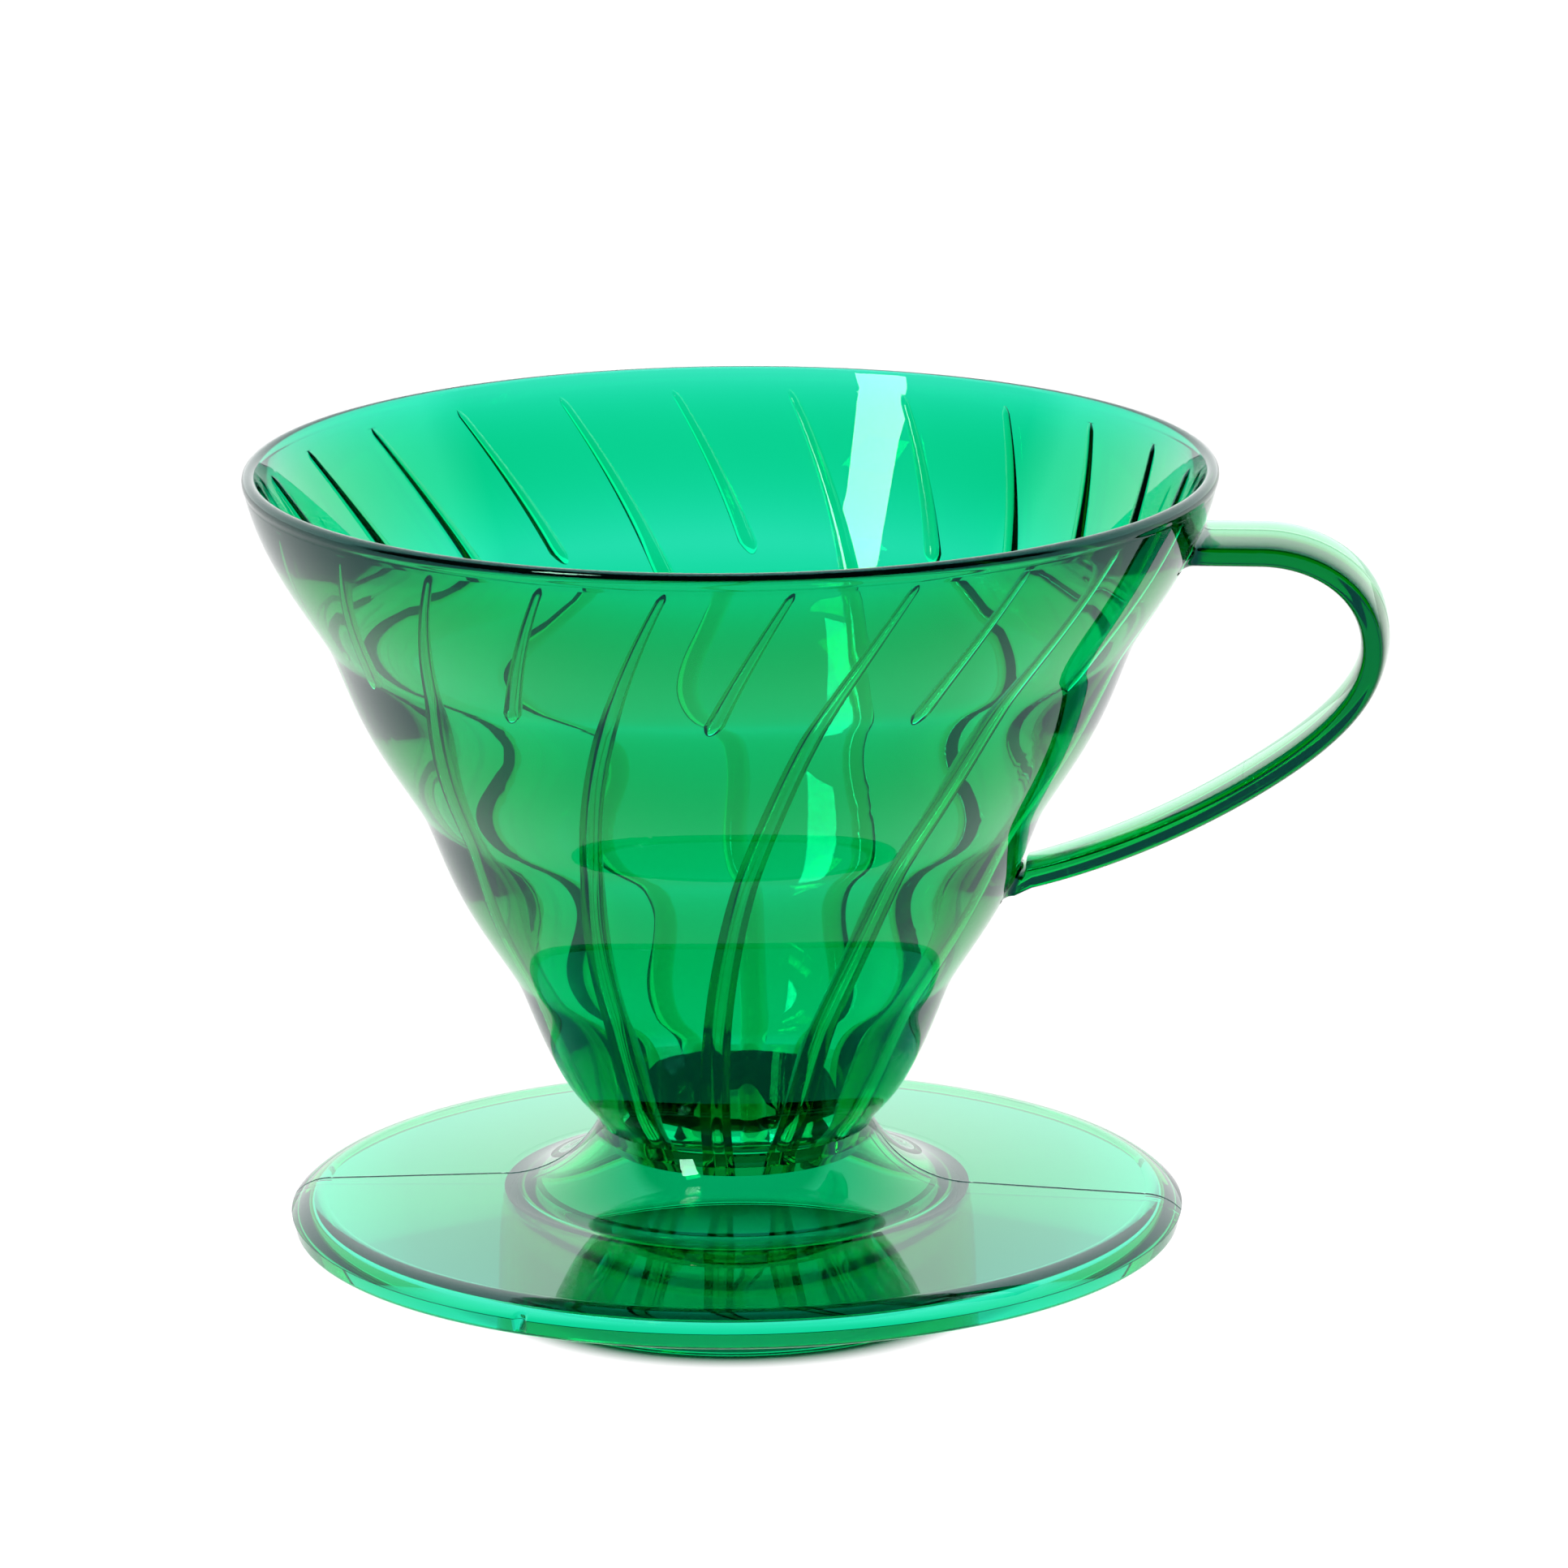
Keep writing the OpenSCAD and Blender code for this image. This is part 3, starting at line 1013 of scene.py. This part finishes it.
    def lip(self) -> Skin:
        """The saucer's shoulder, its sharp parting edge and the band that hangs under it.

        Returns:
            The closed skin.
        """
        x = self.shoulder_x + JOINT_GAP
        edge_a = math.degrees(math.acos(self.shoulder_w / self.shoulder_r))
        centre = (self.shoulder_x, self.shoulder_z - self.shoulder_r)
        shoulder = arc(centre, self.shoulder_r, edge_a, 90, steps=40)
        shoulder[:, 0] = np.clip(shoulder[:, 0], x, None)
        edge_z = shoulder[0, 1]
        foot_r = self.saucer_r - self.step - self.draft
        inside, inner_foot, outer_foot = self.lip_rounds
        corners = [
            Corner(x, self.ring_h),
            Corner(foot_r - self.lip_t - self.lip_lean, self.ring_h, inside),
            Corner(foot_r - self.lip_t, self.lip_z, inner_foot),
            Corner(foot_r, self.lip_z, outer_foot),
            Corner(self.saucer_r - self.step, edge_z),
        ]
        lower, lower_marks = outline(corners)
        section = np.vstack([lower, shoulder])
        marks = np.concatenate([lower_marks, np.full(len(shoulder), BARE)])
        marks[-1] = JOINT
        skin = self.turned(section, marks, True)
        self.nick(skin, edge_z)
        return skin

    def nick(self, skin: Skin, edge_z: float) -> None:
        """Cuts the small gate mark into the sharp edge, by moving points towards the axis.

        The depth is d exp(-(s / w)^4), where s is the way round from its middle, and it fades
        by a bell curve above and below the edge.

        Args:
            skin: The lip, whose points are moved.
            edge_z: Height of the sharp edge.
        """
        x, y, z = skin.points.T
        r = np.hypot(x, y)
        s = (np.arctan2(y, x) - self.gate_a) * self.saucer_r
        fading = np.exp(-((s / self.gate_w) ** 4) - ((z - edge_z) / self.gate_h) ** 2)
        depth = np.where(r > self.saucer_r - self.gate_in, self.gate_d * fading, 0.0)
        skin.points[:, 0] -= x / r * depth
        skin.points[:, 1] -= y / r * depth

    def under(self, r: np.ndarray) -> np.ndarray:
        """Height of the skirt's underside at radius r."""
        turn_in = self.skirt_wall + self.cove_r
        return self.cove_z - np.sqrt(turn_in**2 - (self.cove_x - r) ** 2)

    def seat(self) -> np.ndarray:
        """The stretch of the skirt's underside that the ring's blend meets, going outwards."""
        r = np.linspace(self.ring_in - self.fillet, self.ring_in, 9)
        return np.stack([r, self.under(r)], axis=1)

    def ring(self) -> Skin:
        """The locating ring that drops into a cup, blended into the skirt on its inside.

        The blend is a curve from the ring's inner face to the skirt's underside, with its
        control point at the corner between them.

        Returns:
            The closed skin.
        """
        against = self.seat()[::-1] - [0, JOINT_GAP]
        corner, start = against[0] + [0, JOINT_GAP], against[-1]
        end = corner - [0, self.fillet]
        s = np.linspace(0, 1, 17)[1:, None]
        blend = (1 - s) ** 2 * start + 2 * (1 - s) * s * corner + s * s * end
        shelf_z = self.ring_h - JOINT_GAP
        foot, _ = outline(
            [
                Corner(self.ring_in, 0.0, self.foot_round),
                Corner(self.ring_r, 0.0, self.foot_round),
                Corner(self.ring_r, shelf_z),
            ]
        )
        section = np.vstack([foot, [[self.ring_in, shelf_z]], against, blend])
        marks = np.full(len(section), BARE)
        marks[len(foot) - 1 : len(foot) + len(against)] = JOINT
        return self.turned(section, marks, False)

    def build(self, finish: bpy.types.Material) -> None:
        """Makes the four sub-parts of the base.

        Args:
            finish: Material of every piece.
        """
        self.skirt().piece("skirt", finish, "base_skirt")
        self.plate().piece("saucer", finish, "saucer_plate")
        self.lip().piece("saucer_edge", finish, "saucer_lip")
        self.ring().piece("cup_ring", finish, "locating_ring")


# --- The handle ---


def bezier(points: np.ndarray, t: np.ndarray) -> tuple[np.ndarray, np.ndarray]:
    """Places and directions along a cubic curve through its four control points.

    Args:
        points: The four control points, as x and z.
        t: Positions from zero to one.

    Returns:
        A place and a unit direction for each position.
    """
    t = t[:, None]
    place = (
        (1 - t) ** 3 * points[0]
        + 3 * (1 - t) ** 2 * t * points[1]
        + 3 * (1 - t) * t**2 * points[2]
        + t**3 * points[3]
    )
    way = (
        (1 - t) ** 2 * (points[1] - points[0])
        + 2 * (1 - t) * t * (points[2] - points[1])
        + t**2 * (points[3] - points[2])
    )
    return place, way / np.linalg.norm(way, axis=1, keepdims=True)


@dataclass
class Root:
    """A place on the cone where the strap runs into the wall.

    Attributes:
        z: Height of its middle.
        half_w: Half of its width where it meets the wall.
        half_h: Half of its height there.
        power: Squareness of its outline.
    """

    z: float
    half_w: float
    half_h: float
    power: float

    def inside(self, points: np.ndarray) -> np.ndarray:
        """Signed size of how far points are inside the outline, positive on its inside.

        Args:
            points: Array of n by 3 positions.

        Returns:
            Above zero inside the outline, below zero outside it or on the far side.
        """
        y = np.abs(points[:, 1]) / self.half_w
        h = np.abs(points[:, 2] - self.z) / self.half_h
        far = 9.0
        facing = np.where(points[:, 0] > 0, 0.0, far)
        return 1 - (y**self.power + h**self.power) ** (1 / self.power) - facing


@dataclass
class Handle:
    """The strap handle: a crowned band from under the rim, round a bow and back to the cone.

    Attributes:
        cone: The cone that carries it.
        arm_z: Height of the upper arm's middle.
        bow_x: Furthest reach of the strap's middle.
        strap_w: Width of the upper arm.
        strap_low_w: Width at the lower root.
        strap_t: Thickness along the middle.
        crown: How much thinner each face is at the edges.
        power: Squareness of the section.
        seam_h: Height of the parting ridge.
        seam_w: Half of its width.
        arm_offsets: How far past the rim the arm's control points are.
        bow_drop: Drop from the arm to the bow's furthest point.
        bow_pulls: How far the bow's control points are pulled out from the arm's end, and up
            and down from the furthest point.
        bow_slim: How much narrower the strap is at the furthest point.
        elbow_in: How much nearer the elbow is to the axis than the arm's end.
        elbow_drop: Drop from the arm to the elbow, where the bow meets the lower arm.
        elbow_pulls: Offsets of the control points before and after the elbow.
        root_drop: Drop from the arm to the lower root.
        root_pull: Offset of the control point in front of the lower root.
        root_sink: How far behind the wall's surface the lower curve ends, and how far below.
        stub_t: Position on the arm's curve at which the arm leaves its root.
        foot_t: Position on it from which the root spreads.
        low_t: Position on the lower curve at which the lower arm meets its root.
        low_swell: How much wider the strap is there than at the lower root.
        root_flare: Growth of a root's outline where it meets the cone.
        flare_r: Height of that flare off the wall.
        closing: Shares of the outline at which rings close a root's end.
        around: Points round the strap.
    """

    cone: Cone
    arm_z: float
    bow_x: float
    strap_w: float
    strap_low_w: float = 8.0
    strap_t: float = 3.4
    crown: float = 0.4
    power: float = 7.0
    seam_h: float = 0.05
    seam_w: float = 0.3
    arm_offsets: tuple[float, ...] = (-8.0, -3.0, 2.0, 5.0)
    bow_drop: float = 11.3
    bow_pulls: tuple[float, float, float] = (7.5, 6.8, 6.5)
    bow_slim: float = 1.5
    elbow_in: float = 1.0
    elbow_drop: float = 28.7
    elbow_pulls: tuple[tuple[float, float], ...] = ((8.5, 5.4), (-8.0, -5.1))
    root_drop: float = 41.3
    root_pull: tuple[float, float] = (9.4, 2.3)
    root_sink: tuple[float, float] = (2.1, 0.2)
    stub_t: float = 0.62
    foot_t: float = 0.52
    low_t: float = 0.76
    low_swell: float = 0.5
    root_flare: float = 1.3
    flare_r: float = 1.1
    closing: tuple[float, ...] = (0.8, 0.6, 0.4, 0.2, 0.02)
    around: int = 120

    @classmethod
    def from_frame(cls, cone: Cone) -> "Handle":
        """Takes the strap's height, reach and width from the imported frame.

        Args:
            cone: The cone that carries the handle.

        Returns:
            The handle, ready to build.
        """
        top, bottom = high("handle_upper_arm", 2), low("handle_upper_arm", 2)
        strap_t = top - bottom
        return cls(
            cone=cone,
            arm_z=(top + bottom) / 2,
            bow_x=high("handle_grip_bow", 0) - strap_t / 2,
            strap_w=high("handle_upper_arm", 1) * 2,
            strap_t=strap_t,
        )

    def __post_init__(self) -> None:
        """Lays out the four curves of the centreline, as x and z, and the strap's section.

        The section's points are spread evenly along its outline.
        """
        z, bow_x = self.arm_z, self.bow_x
        self.arm = np.array([[self.cone.rim_r + off, z] for off in self.arm_offsets])
        arm_x, bow_z, root_z = self.arm[-1, 0], z - self.bow_drop, z - self.root_drop
        out, up, down = self.bow_pulls
        before, after = np.array(self.elbow_pulls)
        elbow = np.array([arm_x - self.elbow_in, z - self.elbow_drop])
        root = np.array([float(self.cone.outer_r(np.array(root_z))), root_z])
        self.bow_top = np.array([[arm_x, z], [arm_x + out, z], [bow_x, bow_z + up], [bow_x, bow_z]])
        self.bow_low = np.array([[bow_x, bow_z], [bow_x, bow_z - down], elbow + before, elbow])
        self.lower = np.array([elbow, elbow + after, root + self.root_pull, root - self.root_sink])
        samples = 4000
        a = np.linspace(0, 2 * math.pi, samples + 1)
        across = np.sign(np.cos(a)) * np.abs(np.cos(a)) ** (2 / self.power)
        out = np.sign(np.sin(a)) * np.abs(np.sin(a)) ** (2 / self.power)
        run = np.hypot(np.diff(across) * self.strap_w, np.diff(out) * self.strap_t)
        run = np.concatenate([[0.0], np.cumsum(run)])
        even = np.linspace(0, run[-1], self.around, endpoint=False)
        self.across, self.out = np.interp(even, run, across), np.interp(even, run, out)
        self.bow_w = self.strap_w - self.bow_slim
        self.elbow_w = (self.strap_w + self.strap_low_w) / 2
        self.low_stub_w = self.strap_low_w + self.low_swell

    def band(self, width: np.ndarray) -> tuple[np.ndarray, np.ndarray]:
        """Cross-section of the strap for each width: offsets across and out of the curve.

        A squared ellipse of the edge's thickness, with both faces raised by a parabola
        across the width, so that the middle is the full thickness. The outer face carries a
        fine parting ridge along its middle.

        Args:
            width: Widths of the strap.

        Returns:
            Two arrays of widths by points: the way across, and the way out of the curve.
        """
        edge = (self.strap_t - 2 * self.crown) / 2
        y = width[:, None] / 2 * self.across[None, :]
        ridge = self.seam_h * np.exp(-((y / self.seam_w) ** 2)) * (self.out > 0)
        return y, self.out * (edge + self.crown * (1 - self.across**2)) - self.seam_h + ridge

    def stretch(self, curve: np.ndarray, t: np.ndarray, width: np.ndarray) -> np.ndarray:
        """Rings of points along part of a curve, as an array of rings by points by xyz.

        Args:
            curve: Control points of the centreline, as x and z.
            t: Positions on it, one for each ring.
            width: Width of each ring.

        Returns:
            The rings.
        """
        place, way = bezier(curve, t)
        across, out = self.band(width)
        normal = np.stack([-way[:, 1], way[:, 0]], axis=1)
        x = place[:, :1] + normal[:, :1] * out
        z = place[:, 1:] + normal[:, 1:] * out
        return np.stack([x, across, z], axis=-1)

    @staticmethod
    def tube(rings: np.ndarray) -> Skin:
        """Closes rings of points into a solid, whose two ends are joints.

        The rings run away from their start, and each ring turns from +Y over the outer
        face to -Y.

        Args:
            rings: Rings by points by xyz.

        Returns:
            The closed skin.
        """
        count, around = rings.shape[:2]
        quads = grid_quads(count, around, False, True)
        joint = np.full((len(quads), 4), BARE)
        return Skin(rings.reshape(-1, 3), quads, joint, end_caps(count, around), [JOINT, JOINT])

    @staticmethod
    def eased(start: float, end: float, steps: int) -> np.ndarray:
        """Curve positions that crowd at both ends, where a sub-part meets the next."""
        return start + (end - start) * (1 - np.cos(np.linspace(0, math.pi, steps + 1))) / 2

    def rooted(self, ring: np.ndarray, clear: float, grow: float) -> np.ndarray:
        """Lays a ring onto the cone's outside, grown about its middle and clear of it.

        Args:
            ring: Points by xyz.
            clear: Distance off the wall.
            grow: Growth about the ring's middle.

        Returns:
            The ring on the wall.
        """
        middle = (ring[:, 2].max() + ring[:, 2].min()) / 2
        y, z = ring[:, 1] * grow, middle + (ring[:, 2] - middle) * grow
        r = self.cone.outer_r(z) + clear
        return np.stack([np.sqrt(r * r - y * y), y, z], axis=1)

    def flare(self, foot: np.ndarray) -> np.ndarray:
        """Rings that spread the strap onto the cone in a quarter-round fillet.

        Args:
            foot: The strap's last ring, points by xyz.

        Returns:
            The rings, from the strap to the wall.
        """
        a = np.linspace(math.pi / 2, 0, 11)
        rise = self.flare_r * (1 - np.cos(a))
        grow = 1 + (self.root_flare - 1) * (1 - np.sin(a))
        return np.array([self.rooted(foot, c + JOINT_GAP, g) for c, g in zip(rise, grow)])

    def roots(self) -> list[Root]:
        """The outlines of both roots on the cone, for the wall to leave open.

        Returns:
            The upper root and the lower one.
        """
        made = []
        upper, lower = (self.arm, self.foot_t, self.strap_w), (self.lower, 1.0, self.strap_low_w)
        for curve, t, width in (upper, lower):
            ring = self.foot(curve, t, width)
            bottom, top = ring[:, 2].min(), ring[:, 2].max()
            half_w, half_h = width / 2 * self.root_flare, (top - bottom) / 2 * self.root_flare
            made.append(Root((top + bottom) / 2, half_w, half_h, self.power))
        return made

    def foot(self, curve: np.ndarray, t: float, width: float) -> np.ndarray:
        """The one ring of points from which a root spreads onto the cone."""
        return self.stretch(curve, np.array([t]), np.array([width]))[0]

    def foot_rings(self, foot: np.ndarray) -> np.ndarray:
        """The flare and then shrinking rings that cover the root's end on the wall."""
        closing = [self.rooted(foot, JOINT_GAP, self.root_flare * share) for share in self.closing]
        return np.vstack([self.flare(foot), closing])

    def root_piece(self, stub: np.ndarray, foot: np.ndarray, flip: bool) -> Skin:
        """A root: a short stub, its flare, and an end on the wall that is a joint.

        Args:
            stub: Rings of the strap's last stretch.
            foot: The ring it spreads from.
            flip: Whether the rings run against the way that a tube needs.

        Returns:
            The closed skin.
        """
        rings = np.vstack([stub, self.foot_rings(foot)])
        if flip:
            rings = rings[:, ::-1]
        skin = self.tube(rings)
        skin.joint[-len(self.closing) * self.around :] = JOINT
        return skin

    def build(self, finish: bpy.types.Material) -> None:
        """Makes the five sub-parts of the strap.

        Args:
            finish: Material of every piece.
        """
        gap = 0.0005  # share of a curve that parts two sub-parts, about one joint gap
        stub_run, low_run = 0.06, 0.12  # share of its curve that each root's stub takes
        t = self.eased(self.stub_t + gap, 1 - gap, 16)
        arm = self.stretch(self.arm, t, np.full(len(t), self.strap_w))
        self.tube(arm).piece("top_arm", finish, "handle_upper_arm")
        t = self.eased(0, 1, 60)
        top = self.stretch(self.bow_top, t, self.strap_w + (self.bow_w - self.strap_w) * t)
        low_half = self.stretch(self.bow_low, t, self.bow_w + (self.elbow_w - self.bow_w) * t)
        bow = np.vstack([top, low_half[1:]])
        self.tube(bow).piece("grip_bow", finish, "handle_grip_bow")
        t = self.eased(gap, self.low_t - gap, 60)
        width = self.elbow_w + (self.low_stub_w - self.elbow_w) * t / self.low_t
        self.tube(self.stretch(self.lower, t, width)).piece("low_arm", finish, "handle_lower_arm")
        t = np.linspace(self.stub_t, self.stub_t - stub_run, 8)
        stub = self.stretch(self.arm, t, np.full(len(t), self.strap_w))
        foot = self.foot(self.arm, self.foot_t, self.strap_w)
        self.root_piece(stub, foot, True).piece("upper_root", finish, "handle_upper_root")
        t = np.linspace(self.low_t, self.low_t + low_run, 10)
        stub = self.stretch(self.lower, t, np.linspace(self.low_stub_w, self.strap_low_w, len(t)))
        foot = self.foot(self.lower, 1.0, self.strap_low_w)
        self.root_piece(stub, foot, False).piece("lower_root", finish, "handle_lower_root")


# --- Studio ---


@dataclass(frozen=True)
class Studio:
    """A white table under soft light, with the camera at the view's angle.

    Attributes:
        azimuth: Camera's turn round the object, in degrees.
        elevation: Its height above the horizon, in degrees.
        distance: Its distance in metres from the point it turns about.
        lens: Focal length in millimetres on a sensor 36 mm wide.
        roll: Tilt of the picture, in degrees.
        aim: Shift of the aim to the right and up, in metres.
        centre_z: Height in metres of the point that it turns about.
        room: Brightness of the camera's side.
        sweep: Brightness behind the object.
        table: Brightness of the light table.
        painted_shadow: Brightness of the table in a disc of painted shade behind the object.
        painted_shadow_at: Middle of that painted disc.
        painted_shadow_r: Radius in metres up to which it is full.
        painted_shadow_fade: How fast it fades outside that, per metre.
        ring_r: Radius up to which the table under the object is a plain shaded surface.
        ring_fade: How fast the light table sets in outside that, per metre.
        table_half: Half of the table's width.
        table_z: Height of its top.
        lamp_at: Place of the strip lamp.
        lamp_aim: The point that it faces.
        lamp_size: Its width and length in metres.
        lamp_power: Its power in watts.
        lamp_colour: Its colour, which the green of the plastic turns nearly white.
    """

    azimuth: float = 5.45
    elevation: float = 14.29
    distance: float = 1.1567
    lens: float = 221.6
    roll: float = 0.442
    aim: tuple[float, float] = (0.00608, 0.00762)
    centre_z: float = 0.055
    room: float = 0.04
    sweep: float = 1.8
    table: float = 1.1
    painted_shadow: float = 0.78
    painted_shadow_at: tuple[float, float, float] = (-0.0042, 0.0438, 0.0)
    painted_shadow_r: float = 0.040
    painted_shadow_fade: float = 70.0
    ring_r: float = 0.028
    ring_fade: float = 250.0
    table_half: float = 4.0
    table_z: float = -0.0002
    lamp_at: tuple[float, float, float] = (-0.775, -0.92, 1.145)
    lamp_aim: tuple[float, float, float] = (0.0, 0.0, 0.06)
    lamp_size: tuple[float, float] = (0.30, 0.455)
    lamp_power: float = 37.0
    lamp_colour: tuple[float, float, float] = (1.0, 0.2, 0.17)

    def camera(self) -> None:
        """Places the camera and makes it the scene's."""
        a, e = math.radians(self.azimuth), math.radians(self.elevation)
        back = Vector((math.sin(a) * math.cos(e), -math.cos(a) * math.cos(e), math.sin(e)))
        right = Vector((math.cos(a), math.sin(a), 0))
        up = back.cross(right)
        level = Matrix((right, up, back)).transposed().to_4x4()
        turn = level @ Matrix.Rotation(math.radians(-self.roll), 4, "Z")
        data = bpy.data.cameras.new("camera")
        sensor, nearest, furthest = 36.0, 0.05, 20.0
        data.lens, data.sensor_width = self.lens, sensor
        data.clip_start, data.clip_end = nearest, furthest
        made = placed("camera", data)
        middle = Vector((0, 0, self.centre_z)) + right * self.aim[0] + up * self.aim[1]
        made.matrix_world = Matrix.Translation(middle + back * self.distance) @ turn
        bpy.context.scene.camera = made

    def floor(self) -> None:
        """A large white light table, just under the object, which shades it where it stands.

        Behind the object, a disc of the table is painted with shade, and it only glows less.
        """
        shader = Shader.of_material("white_table")
        place = shader.node("TexCoord", output="Object")
        r = shader.node("VectorMath", {0: place}, "Value", operation="LENGTH")
        painted_shadow = {0: place, 1: self.painted_shadow_at}
        away = shader.node("VectorMath", painted_shadow, "Value", operation="DISTANCE")
        plain = {"Roughness": 0.8, "Specular IOR Level": 0.0, "Base Color": (0.8, 0.8, 0.8, 1.0)}
        glow = {**plain, "Base Color": (0.0, 0.0, 0.0, 1.0), "Emission Color": WHITE}
        shaded = shader.node("BsdfPrincipled", plain)
        lit = shader.node("BsdfPrincipled", {**glow, "Emission Strength": self.table})
        # The dim glow is painted shade: a disc behind the object where the table glows less.
        dim = shader.node("BsdfPrincipled", {**glow, "Emission Strength": self.painted_shadow})
        outside_painted_shadow = ((away - self.painted_shadow_r) * self.painted_shadow_fade).clipped()
        outside_ring = ((r - self.ring_r) * self.ring_fade).clipped()
        glowing = shader.node("MixShader", {0: outside_painted_shadow, 1: dim, 2: lit})
        surface = shader.node("MixShader", {0: outside_ring, 1: shaded, 2: glowing})
        shader.ends_in(surface=surface)
        half, signs = self.table_half, ((-1, -1), (1, -1), (1, 1), (-1, 1))
        mesh = bpy.data.meshes.new("table_top")
        mesh.from_pydata([(half * x, half * y, self.table_z) for x, y in signs], [], [(0, 1, 2, 3)])
        mesh.materials.append(shader.owner)
        placed("table_top", mesh)

    def light(self) -> None:
        """A soft rectangular lamp aimed at the object."""
        data = bpy.data.lights.new("strip_box", "AREA")
        data.shape, data.energy, data.color = "RECTANGLE", self.lamp_power, self.lamp_colour
        data.size, data.size_y = self.lamp_size
        made = placed("strip_box", data)
        place, target = Vector(self.lamp_at), Vector(self.lamp_aim)
        turn = (target - place).to_track_quat("-Z", "Y").to_matrix().to_4x4()
        made.matrix_world = Matrix.Translation(place) @ turn

    def world(self) -> None:
        """A bright paper sweep behind the object, and a dim room on the camera's side.

        The camera itself sees the sweep in every direction.
        """
        shader = Shader(bpy.data.worlds.new("surround"), "ShaderNodeOutputWorld")
        way = shader.node("TexCoord", output="Generated")
        back = shader.node("SeparateXYZ", {"Vector": way}, "Y")
        room = shader.node("Background", {"Color": WHITE, "Strength": self.room})
        sweep = shader.node("Background", {"Color": WHITE, "Strength": self.sweep})
        seen = shader.node("LightPath", output="Is Camera Ray")
        steep, halfway, always = 5.0, 0.5, 10.0
        lit = (back * steep + halfway + seen * always).clipped()
        shader.ends_in(surface=shader.node("MixShader", {0: lit, 1: room, 2: sweep}))
        bpy.context.scene.world = shader.owner

    def build(self) -> None:
        """Sets the camera, the table, the light and the picture's tone."""
        scene = bpy.context.scene
        self.camera()
        self.floor()
        self.world()
        self.light()
        scene.view_settings.view_transform = "Standard"
        scene.cycles.max_bounces = 32
        scene.cycles.transmission_bounces = 32
        scene.cycles.glossy_bounces = 12
        scene.cycles.transparent_max_bounces = 48
        scene.cycles.use_denoising = True


def main() -> None:
    """Builds the dripper and its studio."""
    logging.basicConfig(level=logging.INFO, format="%(name)s: %(message)s")
    Studio().build()
    finish = Finish.GREEN.value.material("clear_green_plastic")
    cone = Cone.from_frame()
    handle = Handle.from_frame(cone)
    cone.build(finish, handle.roots())
    Base.from_frame(cone).build(finish)
    handle.build(finish)


if __name__ == "__main__":
    main()
